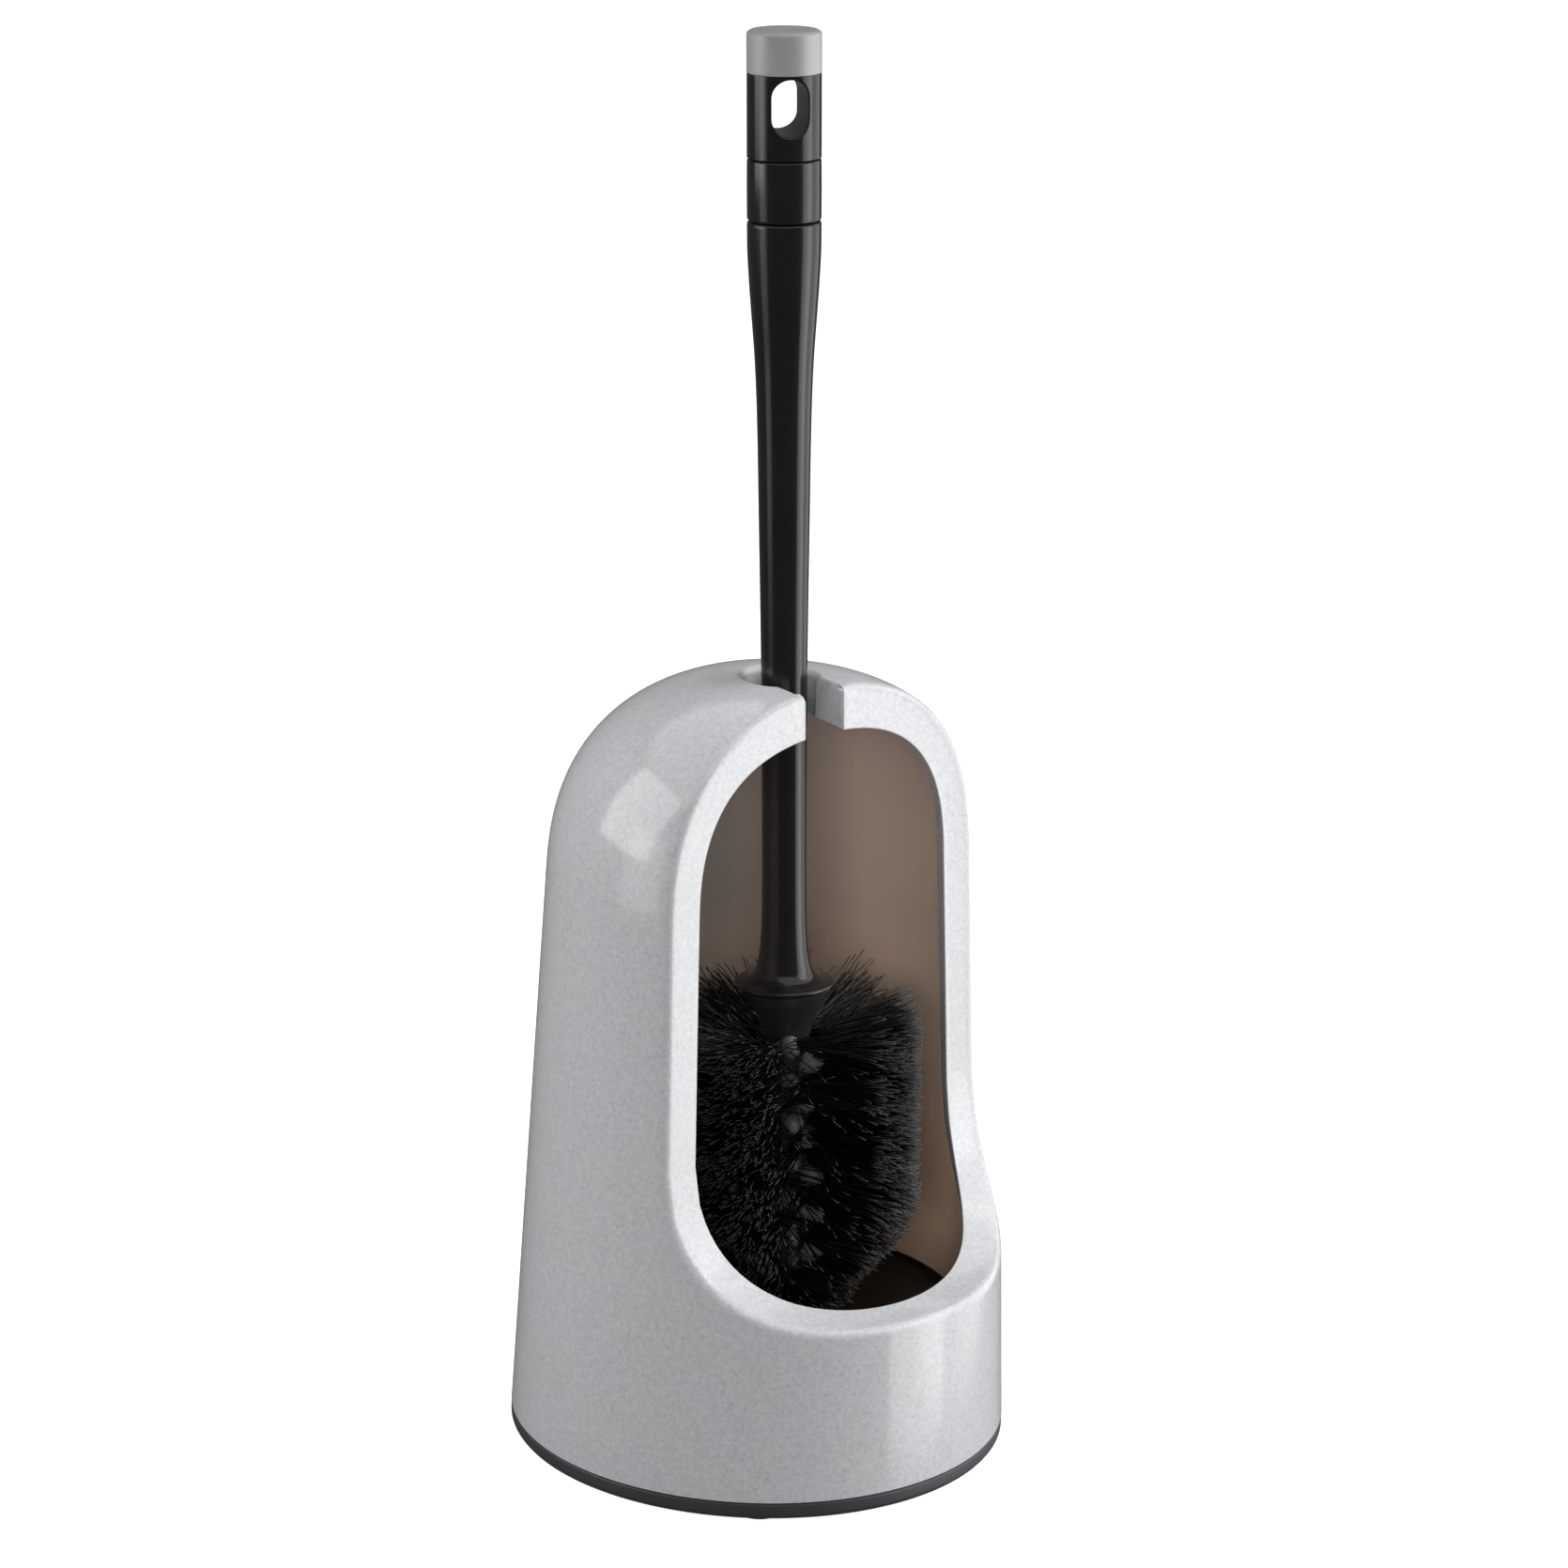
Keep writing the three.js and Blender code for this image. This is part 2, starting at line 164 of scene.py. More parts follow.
def piece_from_grids(name, grids, mirror=False, crease=40.0):
    """One mesh from grids of points. Each grid's cells become quads; a mirrored piece gets every grid again with
    x turned to -x. Points that fall together are merged, and the faces are turned outwards."""
    points, faces, start = [], [], 0
    for grid in grids:
        rows, columns = grid.shape[:2]
        index = start + np.arange(rows * columns).reshape(rows, columns)
        quads = np.stack([index[:-1, :-1], index[:-1, 1:], index[1:, 1:], index[1:, :-1]], -1).reshape(-1, 4)
        points.append(grid.reshape(-1, 3))
        faces.append(quads)
        start += rows * columns
    points, faces = np.concatenate(points), np.concatenate(faces)
    if mirror:
        flipped = points * [-1.0, 1.0, 1.0]
        faces = np.concatenate([faces, faces[:, ::-1] + len(points)])
        points = np.concatenate([points, flipped])
    mesh = bpy.data.meshes.new(name)
    mesh.from_pydata(points.tolist(), [], faces.tolist())
    tidy = bmesh.new()
    tidy.from_mesh(mesh)
    bmesh.ops.remove_doubles(tidy, verts=tidy.verts, dist=2e-6)
    bmesh.ops.dissolve_degenerate(tidy, edges=tidy.edges, dist=1e-7)
    bmesh.ops.recalc_face_normals(tidy, faces=tidy.faces)
    tidy.to_mesh(mesh)
    tidy.free()
    mesh.shade_smooth()
    mesh.set_sharp_from_angle(angle=math.radians(crease))
    piece = bpy.data.objects.new(name, mesh)
    bpy.context.scene.collection.objects.link(piece)
    return piece


def finish_piece(piece, material, slot, body, *nodes):
    """Gives a piece its material, puts it on its body, and lets it stand for its CAD nodes. The slot is not used."""
    piece.data.materials.clear()
    piece.data.materials.append(material)
    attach(piece, body)
    if nodes:
        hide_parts(*nodes)
    return piece


def lerp(a, b, t):
    return a + (b - a) * t


def arc_corner(before, corner, after, steps):
    """A rounded corner: the quadratic curve from before to after that is pulled towards corner."""
    t = np.linspace(0.0, 1.0, steps)[:, None]
    return (1 - t) ** 2 * before + 2 * t * (1 - t) * corner + t**2 * after


def rounded(outline, radius, steps=5):
    """An outline of [radius, height] corners with each inner corner rounded by cutting it back by radius, or by
    under half of the shorter side beside it."""
    corners = np.array(outline, float)
    parts = [corners[:1]]
    for before, corner, after in zip(corners[:-2], corners[1:-1], corners[2:]):
        back, ahead = before - corner, after - corner
        cut = min(radius, 0.45 * np.linalg.norm(back), 0.45 * np.linalg.norm(ahead))
        start = corner + back / np.linalg.norm(back) * cut
        end = corner + ahead / np.linalg.norm(ahead) * cut
        parts.append(arc_corner(start, corner, end, steps))
    parts.append(corners[-1:])
    return np.concatenate(parts)


def smooth_through(stations, steps):
    """A curve through [radius, height] stations: cubic between neighbours, with the slope at each station taken
    from the stations on both sides of it."""
    stations = np.array(stations, float)
    height, radius = stations[:, 1], stations[:, 0]
    slope = np.gradient(radius, height)
    at = np.concatenate([np.linspace(a, b, steps, endpoint=False) for a, b in zip(height[:-1], height[1:])])
    at = np.append(at, height[-1])
    cell = np.clip(np.searchsorted(height, at, side="right") - 1, 0, len(height) - 2)
    span = height[cell + 1] - height[cell]
    t = (at - height[cell]) / span
    value = (
        (2 * t**3 - 3 * t**2 + 1) * radius[cell]
        + (t**3 - 2 * t**2 + t) * span * slope[cell]
        + (3 * t**2 - 2 * t**3) * radius[cell + 1]
        + (t**3 - t**2) * span * slope[cell + 1]
    )
    return np.stack([value, at], 1)


def turned(outline, segments=96):
    """The surface that an outline of [radius, height] makes as it turns once about the Z axis."""
    turn = np.linspace(0.0, 2 * math.pi, segments + 1)[None, :]
    radius, height = outline[:, 0][:, None], outline[:, 1][:, None]
    return np.stack([radius * np.cos(turn), radius * np.sin(turn), height + 0 * turn], -1)


def on_brush(points):
    """Points of the upright brush, leant back about X and moved to the brush's foot."""
    c, s = math.cos(BRUSH_LEAN), math.sin(BRUSH_LEAN)
    x, y, z = points[..., 0], points[..., 1], points[..., 2]
    return np.stack([x, c * y + s * z, c * z - s * y], -1) + BRUSH_FOOT


# ---------------------------------------------------------------- the stand's walls


class Wall:
    """One of the stand's surfaces of revolution. Below CONE_TOP it is a cone taken in by inset. Above, a point at
    angle m has radius cone * cos(m)^(2/power) and height sin(m)^(2/power) of the dome. Below, m is the height under
    CONE_TOP in units of the dome's height, and negative."""

    def __init__(self, inset, top, power):
        self.inset, self.rise, self.power = inset, top - CONE_TOP, power

    def cone(self, z):
        return BASE_RADIUS - (z - BASE_TOP) * CONE_TAPER - self.inset

    def meridian(self, m):
        up = np.clip(m, 0.0, math.pi / 2)
        z = CONE_TOP + self.rise * (np.sin(up) ** (2 / self.power) + np.minimum(m, 0.0))
        return self.cone(z) * np.cos(up) ** (2 / self.power), z

    def radius_at(self, z):
        t = np.clip((z - CONE_TOP) / self.rise, 0.0, 1.0)
        return self.cone(z) * (1 - t**self.power) ** (1 / self.power)

    def height_at(self, radius):
        z = np.full_like(radius, CONE_TOP + self.rise)
        for _ in range(12):
            share = np.clip(radius / self.cone(z), 0.0, 1.0) ** self.power
            z = CONE_TOP + self.rise * (1 - share) ** (1 / self.power)
        return z

    def point(self, turn, m):
        """A point at an angle turn from the front."""
        radius, z = self.meridian(m)
        return np.stack([radius * np.sin(turn), -radius * np.cos(turn), z + 0 * turn], -1)

    def locate(self, points):
        """The (turn, m) of points on, or very near, this surface."""
        radius, z = np.hypot(points[..., 0], points[..., 1]), points[..., 2]
        up = np.clip((z - CONE_TOP) / self.rise, 0.0, 1.0) ** (self.power / 2)
        across = np.clip(radius / self.cone(z), 0.0, 1.0) ** (self.power / 2)
        m = np.where(z < CONE_TOP, (z - CONE_TOP) / self.rise, np.arctan2(up, across))
        return np.arctan2(points[..., 0], -points[..., 1]), m

    def normal(self, points):
        """The outward direction, from the slope of the meridian at each point."""
        turn, m = self.locate(points)
        step = 1e-3
        ahead, behind = self.meridian(m + step), self.meridian(m - step)
        along = np.stack([ahead[0] - behind[0], ahead[1] - behind[1]], -1)
        along /= np.linalg.norm(along, axis=-1, keepdims=True)
        return np.stack([np.sin(turn) * along[..., 1], -np.cos(turn) * along[..., 1], -along[..., 0]], -1)


OUTSIDE = Wall(0.0, DOME_TOP, DOME_POWER)
SHELL_INSIDE = Wall(SHELL_WALL, DOME_TOP - SHELL_WALL, DOME_POWER)
LINER_OUTSIDE = Wall(WALL_DEPTH - LINER_WALL, LINER_TOP + LINER_WALL, LINER_POWER)
LINER_INSIDE = Wall(WALL_DEPTH, LINER_TOP, LINER_POWER)

BEND_COLUMNS = 44
RISE_ROWS = 72
SLOT_ROWS = 10
HOLE_COLUMNS = 64


def rim_side(s, back):
    """The rim seen from the side, taken back by back: y and z at a length s along it, level in front of s = 0, then
    the bend, then the straight that leans back."""
    radius = RIM_RADIUS + back
    sweep = math.pi / 2 - RIM_LEAN
    turn = np.clip(s / radius, 0.0, sweep)
    straight = np.maximum(s - radius * sweep, 0.0)
    y = RIM_Y + radius * np.sin(turn) + straight * math.sin(RIM_LEAN) + np.minimum(s, 0.0)
    z = RIM_Z - radius * np.cos(turn) + straight * math.cos(RIM_LEAN)
    return y, z


def rim_edge(wall, back, widen):
    """Where a wall meets the rim taken back by back and the keyhole widened by widen, on the +X side: the bend from
    the middle of the lip, the rise to the slot, the slot's edge and half of the hole. Returns points [n, 3], and
    the lengths s along the rim's side line for the bend and the rise."""
    bend_end = (RIM_RADIUS + back) * (math.pi / 2 - RIM_LEAN)
    s = np.linspace(-4 * MM, bend_end, 4000)
    y, z = rim_side(s, back)
    inside = -y < wall.radius_at(z)
    s = s[inside]
    y, z = rim_side(s, back)
    turn = np.arccos(np.clip(-y / wall.radius_at(z), -1.0, 1.0))
    turn[0] = 0.0
    spread = np.linspace(0.0, 1.0, BEND_COLUMNS) ** 1.15 * turn[-1]
    s_bend = np.interp(spread, turn, s)
    y, z = rim_side(s_bend, back)
    radius = wall.radius_at(z)
    bend = np.stack([np.sqrt(np.maximum(radius**2 - y**2, 0.0)), y, z], -1)
    bend[0] = [0.0, -radius[0], z[0]]

    slot_half = SLOT_HALF + widen
    s = np.linspace(bend_end, bend_end + 130 * MM, 6000)
    y, z = rim_side(s, back)
    low_enough = z < CONE_TOP + wall.rise
    s, y, z = s[low_enough], y[low_enough], z[low_enough]
    x = np.sqrt(np.maximum(wall.radius_at(z) ** 2 - y**2, 0.0))
    corner = np.argmax(x < slot_half)
    s_corner = np.interp(-slot_half, -x[corner - 1 : corner + 1], s[corner - 1 : corner + 1])
    spread = np.sin(np.linspace(0.0, 1.0, RISE_ROWS) * math.pi / 2)
    s_rise = lerp(bend_end, s_corner, spread)[1:]
    y, z = rim_side(s_rise, back)
    rise = np.stack([np.sqrt(np.maximum(wall.radius_at(z) ** 2 - y**2, 0.0)), y, z], -1)
    rise[-1, 0] = slot_half

    hole_radius = HOLE_RADIUS + widen
    junction = math.asin(slot_half / hole_radius)
    y = np.linspace(rise[-1, 1], -hole_radius * math.cos(junction), SLOT_ROWS)[1:]
    slot = np.stack([np.full_like(y, slot_half), y, wall.height_at(np.hypot(slot_half, y))], -1)
    turn = np.linspace(junction, math.pi, HOLE_COLUMNS)[1:]
    level = wall.height_at(np.full_like(turn, hole_radius))
    hole = np.stack([hole_radius * np.sin(turn), -hole_radius * np.cos(turn), level], -1)
    return np.concatenate([bend, rise, slot, hole]), np.concatenate([s_bend, s_rise])


CORNER = BEND_COLUMNS + RISE_ROWS - 2
JUNCTION = CORNER + SLOT_ROWS - 1


def step_from_edge(wall, edge, distance):
    """Each point of an edge moved by distance along the wall, square to the edge and away from the opening. The
    corner at the slot moves both ways."""
    ways = []
    for first, last in ((0, CORNER), (CORNER, JUNCTION), (JUNCTION, len(edge) - 1)):
        stretch = edge[first : last + 1]
        way = np.cross(wall.normal(stretch), np.gradient(stretch, axis=0))
        ways.append(way / np.linalg.norm(way, axis=-1, keepdims=True))
    way = np.concatenate([ways[0][:-1], [ways[0][-1] + ways[1][0]], ways[1][1:-1], [ways[2][0]], ways[2][1:]])
    way[JUNCTION] = ways[1][-1] + ways[2][0]
    way[JUNCTION] /= np.linalg.norm(way[JUNCTION])
    return edge - way * distance


def settle(wall, points):
    """Points put exactly on a wall. The lip's middle stays in the middle plane, and the hole's row is level."""
    turn, m = wall.locate(points)
    turn[0] = 0.0
    turn[JUNCTION:] = np.linspace(turn[JUNCTION], math.pi, len(turn) - JUNCTION)
    m[JUNCTION:] = m[JUNCTION]
    return turn, m, wall.point(turn, m)


def wall_grids(wall, turn, m, bottom):
    """The half of a wall around an edge given by its (turn, m): upright columns under the bend, level rows from the
    edge round to the back beside the opening, and the same rows below them down to bottom."""
    m_bottom = (bottom - CONE_TOP) / wall.rise
    last = BEND_COLUMNS - 1
    down = np.linspace(0.0, 1.0, 36)[:, None] ** 1.3
    across = np.linspace(0.0, 1.0, HOLE_COLUMNS)[None, :]
    under = wall.point(turn[None, : last + 1] + 0 * down, lerp(m[None, : last + 1], m_bottom, down))
    below = wall.point(lerp(turn[last], math.pi, across) + 0 * down, lerp(m[last], m_bottom, down) + 0 * across)
    side_turn, side_m = turn[last : JUNCTION + 1, None], m[last : JUNCTION + 1, None]
    beside = wall.point(lerp(side_turn, math.pi, across), side_m + 0 * across)
    return [under, below, beside], np.concatenate([under[-1], below[-1][1:]])


def rim_face(outer, inner, s_outer, s_inner, share):
    """Points on the rim's face at a share of the way from the outer to the inner edge. On the bend and the rise the
    way is straight in the unrolled face of x against length s; in the keyhole it is straight in space."""
    on_rim = len(s_outer)
    share = share[:, None]
    x = lerp(outer[:on_rim, :1], inner[:on_rim, :1], share[:on_rim])[:, 0]
    y, z = rim_side(lerp(s_outer, s_inner, share[:on_rim, 0]), 0.0)
    keyhole = lerp(outer[on_rim:], inner[on_rim:], share[on_rim:])
    return np.concatenate([np.stack([x, y, z], -1), keyhole])


def round_the_corner(rows, cut):
    """The rows next to the corner row are cut back to a distance, and three new rows carry a rounded corner. The
    first column, on the wall, keeps its place."""
    corner = rows[CORNER]
    before = rows[CORNER - 1 : CORNER + 1]
    after = rows[CORNER : CORNER + 2]
    reach_before = np.linalg.norm(before[0] - corner, axis=-1, keepdims=True)
    reach_after = np.linalg.norm(after[1] - corner, axis=-1, keepdims=True)
    start = corner + (before[0] - corner) * np.minimum(1.0, cut / np.maximum(reach_before, 1e-9))
    end = corner + (after[1] - corner) * np.minimum(1.0, cut / np.maximum(reach_after, 1e-9))
    start[0] = end[0] = corner[0]
    t = np.linspace(0.0, 1.0, 7)[:, None, None]
    curve = (1 - t) ** 2 * start + 2 * t * (1 - t) * corner + t**2 * end
    return np.concatenate([rows[:CORNER], curve, rows[CORNER + 1 :]])


def outer_shell_grids():
    """The outer shell as a closed solid: the outside, a rounded outer edge, the rim's face, a rounded inner edge,
    the rim's depth, its back, the wall's inside, and the foot that joins them."""
    outer, s_outer = rim_edge(OUTSIDE, 0.0, 0.0)
    inner, s_inner = rim_edge(LINER_INSIDE, 0.0, 0.0)
    back, _ = rim_edge(LINER_INSIDE, RIM_THICKNESS, KEYHOLE_WALL)
    hidden, _ = rim_edge(SHELL_INSIDE, RIM_THICKNESS, KEYHOLE_WALL)
    width = np.linalg.norm(inner - outer, axis=-1)

    turn, m, start = settle(OUTSIDE, step_from_edge(OUTSIDE, outer, RIM_ROUND))
    face_start = rim_face(outer, inner, s_outer, s_inner, RIM_ROUND / width)
    face_end = rim_face(outer, inner, s_outer, s_inner, 1 - RIM_INNER_ROUND / width)
    depth_start = step_from_edge(LINER_INSIDE, inner, RIM_INNER_ROUND)
    hidden_turn, hidden_m, hidden = settle(SHELL_INSIDE, hidden)

    t = np.linspace(0.0, 1.0, 7)[:, None, None]
    outer_round = (1 - t) ** 2 * start + 2 * t * (1 - t) * outer + t**2 * face_start
    inner_round = (1 - t) ** 2 * face_end + 2 * t * (1 - t) * inner + t**2 * depth_start
    shares = np.linspace(RIM_ROUND / width, 1 - RIM_INNER_ROUND / width, 7)[1:-1]
    face = np.stack([rim_face(outer, inner, s_outer, s_inner, share) for share in shares])
    rows = np.concatenate([outer_round, face, inner_round, back[None], hidden[None]]).transpose(1, 0, 2)
    rows = round_the_corner(rows, RIM_ROUND)

    foot = BASE_TOP + GAP
    outside, outside_foot = wall_grids(OUTSIDE, turn, m, foot)
    inside, inside_foot = wall_grids(SHELL_INSIDE, hidden_turn, hidden_m, foot)
    return [rows, np.stack([outside_foot, inside_foot]), *outside, *inside]


def liner_grids():
    """The liner as a closed solid: its inside, its outside, the edge behind the rim, and its foot."""
    back, widen = RIM_THICKNESS + GAP, KEYHOLE_WALL + GAP
    inner_turn, inner_m, inner = settle(LINER_INSIDE, rim_edge(LINER_INSIDE, back, widen)[0])
    outer_turn, outer_m, outer = settle(LINER_OUTSIDE, rim_edge(LINER_OUTSIDE, back, widen)[0])
    inside, inside_foot = wall_grids(LINER_INSIDE, inner_turn, inner_m, LINER_FOOT)
    outside, outside_foot = wall_grids(LINER_OUTSIDE, outer_turn, outer_m, LINER_FOOT)
    return [np.stack([inner, outer]), np.stack([inside_foot, outside_foot]), *inside, *outside]


# ---------------------------------------------------------------- other pieces of the stand


def drip_tray_grids():
    """The tray turned from its outline: a level floor that sweeps up to a thin edge against the wall, on a skirt."""
    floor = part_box("drip_tray")[1].z
    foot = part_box("drip_tray")[0].z
    edge = 53.2 * MM
    wall = 2.0 * MM
    sweep = arc_corner(
        np.array([edge - 5.5 * MM, floor - 0.2 * MM]),
        np.array([edge - 0.9 * MM, floor - 0.2 * MM]),
        np.array([edge - 0.7 * MM, floor + TRAY_EDGE]),
        10,
    )
    outline = [
        [edge - 0.7 * MM, floor + TRAY_EDGE],
        [edge, floor + TRAY_EDGE],
        [edge, floor - 1 * MM],
        [edge + 1 * MM, foot],
        [edge + 1 * MM - wall, foot],
        [edge - wall, floor - wall - 0.8 * MM],
        [0, floor - wall - 0.8 * MM],
    ]
    profile = np.concatenate([[[0, floor - 0.2 * MM]], sweep, rounded(outline, 0.3 * MM)[1:]])
    return [turned(profile, 128)]


def base_plate_grids():
    """The base turned from its outline: the ring with soft edges, the web, and the spigot inside the shell."""
    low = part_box("base_plate")[0].z
    outline = [
        [0, low],
        [52 * MM, low],
        [BASE_RADIUS - 0.9 * MM, low],
        [BASE_RADIUS, low + 1.1 * MM],
        [BASE_RADIUS, BASE_TOP - 0.35 * MM],
        [BASE_RADIUS - 0.6 * MM, BASE_TOP],
        [61.4 * MM, BASE_TOP],
        [61.4 * MM, 10.2 * MM],
        [57.2 * MM, 10.2 * MM],
        [57.2 * MM, 3.0 * MM],
        [0, 3.0 * MM],
    ]
    return [turned(rounded(outline, 0.5 * MM), 160)]


def foot_pad_grids(node):
    """A round foot turned from its outline about its own middle, with a shallow ring groove underneath."""
    low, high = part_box(node)
    radius = (high.x - low.x) / 2
    outline = [
        [0, 0],
        [radius - 3.2 * MM, 0],
        [radius - 2.9 * MM, 0.35 * MM],
        [radius - 2.1 * MM, 0.35 * MM],
        [radius - 1.8 * MM, 0],
        [radius - 0.4 * MM, 0],
        [radius, 0.4 * MM],
        [radius, high.z],
        [0, high.z],
    ]
    middle = np.array([(low.x + high.x) / 2, (low.y + high.y) / 2, 0.0])
    return [turned(rounded(outline, 0.2 * MM, 3), 40) + middle]


# ---------------------------------------------------------------- handle


def end_cap_grids():
    """The cap turned from its outline: a straight side, a soft shoulder and a top that crowns a little."""
    crown = np.linspace(0.0, 1.0, 12)[::-1]
    shoulder = CAP_RADIUS - 1.0 * MM
    top = np.stack([crown * shoulder, CAP_TOP - 0.45 * MM * crown**2], 1)
    side = [
        [0, CAP_BOTTOM],
        [CAP_RADIUS - 0.1 * MM, CAP_BOTTOM],
        [CAP_RADIUS, CAP_BOTTOM + 0.25 * MM],
        [CAP_RADIUS, CAP_TOP - 1.0 * MM],
        list(top[0]),
    ]
    return [on_brush(turned(np.concatenate([rounded(side, 0.8 * MM, 6), top[1:]])))]


def grip_band_grids():
    """The sleeve turned from its outline: a barely crowned side with soft ends down to the fine grooves."""
    top = GRIP_BOTTOM - 0.15 * MM
    bore = 5.8 * MM
    outline = [
        [bore, BAND_BOTTOM - 0.2 * MM],
        [GRIP_RADIUS - 0.45 * MM, BAND_BOTTOM - 0.2 * MM],
        [GRIP_RADIUS - 0.02 * MM, BAND_BOTTOM + 0.25 * MM],
        [GRIP_RADIUS + 0.02 * MM, (BAND_BOTTOM + top) / 2],
        [GRIP_RADIUS - 0.02 * MM, top - 0.45 * MM],
        [GRIP_RADIUS - 0.45 * MM, top],
        [bore, top],
    ]
    loop = rounded(outline, 0.4 * MM)
    return [on_brush(turned(np.concatenate([loop, loop[:1]])))]


def handle_shaft_grids():
    """The shaft turned from a smooth curve through its radii, from the splash flange up the flare and the long
    taper to the shoulder under the band."""
    flange = np.array(
        [
            [0, FLANGE_BOTTOM],
            [FLANGE_RADIUS - 0.5 * MM, FLANGE_BOTTOM],
            [FLANGE_RADIUS, FLANGE_BOTTOM + 0.4 * MM],
            [FLANGE_RADIUS, FLANGE_BOTTOM + 0.9 * MM],
            [FLANGE_RADIUS - 0.5 * MM, FLANGE_BOTTOM + 1.3 * MM],
            [10.6 * MM, FLANGE_BOTTOM + 1.75 * MM],
            [9.2 * MM, FLANGE_BOTTOM + 2.35 * MM],
            SHAFT_STATIONS[0],
        ]
    )
    flare = smooth_through(SHAFT_STATIONS, 8)
    shoulder = np.array([[9.3, 320.6], [9.3, 321.4], [8.85, 321.85], [5.5, 321.85], [5.5, 340.6], [0, 340.6]]) * MM
    outline = [rounded(flange, 0.45 * MM)[:-1], flare, rounded(shoulder, 0.45 * MM)[1:]]
    return [on_brush(turned(np.concatenate(outline)))]


def slot_outline(count):
    """The hanging slot's outline, an upright stadium: across and up from its middle, at count even angles. Each
    point is where the ray at that angle meets the straight sides or the round ends."""
    half = HANG_SLOT_HALF
    tall = (HANG_SLOT_TOP - HANG_SLOT_BOTTOM) / 2 - half
    turn = np.linspace(0.0, 2 * math.pi, count + 1)
    c, s = np.cos(turn), np.sin(turn)
    to_side = half / np.maximum(np.abs(c), 1e-9)
    to_end = tall * np.abs(s) + np.sqrt(np.maximum(half**2 - (tall * c) ** 2, 0.0))
    reach = np.where(np.abs(to_side * s) <= tall, to_side, to_end)
    return c * reach, s * reach


def grip_top_grids():
    """The hanging end: a cylinder with an upright slot right through. Each half is a ring of rays from the slot's
    rounded mouth out to the half's own edges, in the unrolled side of angle against height; the slot's wall runs
    straight from mouth to mouth. A dished top and foot close it."""
    count, radius, round_by = 160, GRIP_RADIUS, 0.7 * MM
    foot, top = GRIP_BOTTOM + 0.15 * MM, CAP_BOTTOM - 0.05 * MM
    middle = (HANG_SLOT_TOP + HANG_SLOT_BOTTOM) / 2
    across, up = slot_outline(count)
    norm = np.hypot(across, up)
    wide_across, wide_up = across * (1 + round_by / norm), up * (1 + round_by / norm)
    wide_up = np.clip(wide_up, foot - middle + 0.4 * MM, top - middle - 0.25 * MM)
    turn = np.arctan2(up, across)
    reach_side = (math.pi / 2) * radius / np.maximum(np.abs(np.cos(turn)), 1e-9)
    limit = np.where(np.sin(turn) > 0, top - middle, middle - foot)
    reach_end = limit / np.maximum(np.abs(np.sin(turn)), 1e-9)
    reach = np.minimum(reach_side, reach_end)
    edge_across, edge_up = np.cos(turn) * reach, np.sin(turn) * reach
    grids = []
    for face in (1, -1):

        def on_side(arc, height, at_radius=radius):
            angle = arc / radius
            return np.stack([at_radius * np.sin(angle), face * at_radius * np.cos(angle), middle + height], -1)

        t = np.linspace(0.0, 1.0, 14)[:, None] ** 1.4
        side = on_side(lerp(wide_across, edge_across, t), lerp(wide_up, edge_up, t))
        mouth = on_side(wide_across, wide_up)
        depth = np.sqrt(radius**2 - across**2)
        corner = np.stack([across, face * depth, middle + up], -1)
        inside = np.stack([across, face * (depth - round_by), middle + up], -1)
        t = np.linspace(0.0, 1.0, 6)[:, None, None]
        grids.append(side)
        grids.append((1 - t) ** 2 * mouth + 2 * t * (1 - t) * corner + t**2 * inside)
        grids.append(np.stack([inside, inside * [1.0, 0.0, 1.0]]))
    ends = []
    for level, lip in ((top, -1.0), (foot, 1.0)):
        outline = np.array([[radius, level], [radius - 0.4 * MM, level], [0, level + lip * 0.3 * MM]])
        ends.append(turned(outline, 240))
    turn_back = HANG_SLOT_TURN
    c, s = math.cos(turn_back), math.sin(turn_back)
    spun = [np.stack([c * g[..., 0] - s * g[..., 1], s * g[..., 0] + c * g[..., 1], g[..., 2]], -1) for g in grids]
    return [on_brush(g) for g in spun + ends]


# ---------------------------------------------------------------- brush head


def head_core_grids():
    """The core and the conical collar under the flange, turned from their outline."""
    top = FLANGE_BOTTOM - 0.1 * MM
    stations = [[6.9, 96.0], [6.9, 104.0], [6.95, 110.5], [7.6, 113.8], [8.9, 117.0], [10.4, 120.0], [11.4, 122.2]]
    collar = smooth_through(np.array(stations) * MM, 6)
    low = rounded(np.array([[0, 42.0], [5.0, 42.3], [6.7, 44.0], [6.9, 47.0], [6.9, 96.0]]) * MM, 1.2 * MM)
    high = np.array([[COLLAR_RADIUS, top - 0.5 * MM], [COLLAR_RADIUS - 0.4 * MM, top], [0, top]])
    return [on_brush(turned(np.concatenate([low[:-1], collar, high])))]


def dome_on_core(height, angle, reach, across, tall, segments=14):
    """A dome on the core's side: it stands reach above the core, across wide and tall high at its foot."""
    u = np.linspace(0.0, 2 * math.pi, segments + 1)[None, :]
    v = np.linspace(0.0, math.pi / 2, 7)[:, None]
    out = CORE_RADIUS - 0.5 * MM + reach * np.sin(v) + 0 * u
    side = across / 2 * np.cos(v) * np.cos(u)
    c, s = math.cos(angle), math.sin(angle)
    points = [out * c - side * s, out * s + side * c, height + tall / 2 * np.cos(v) * np.sin(u)]
    return on_brush(np.stack(points, -1))


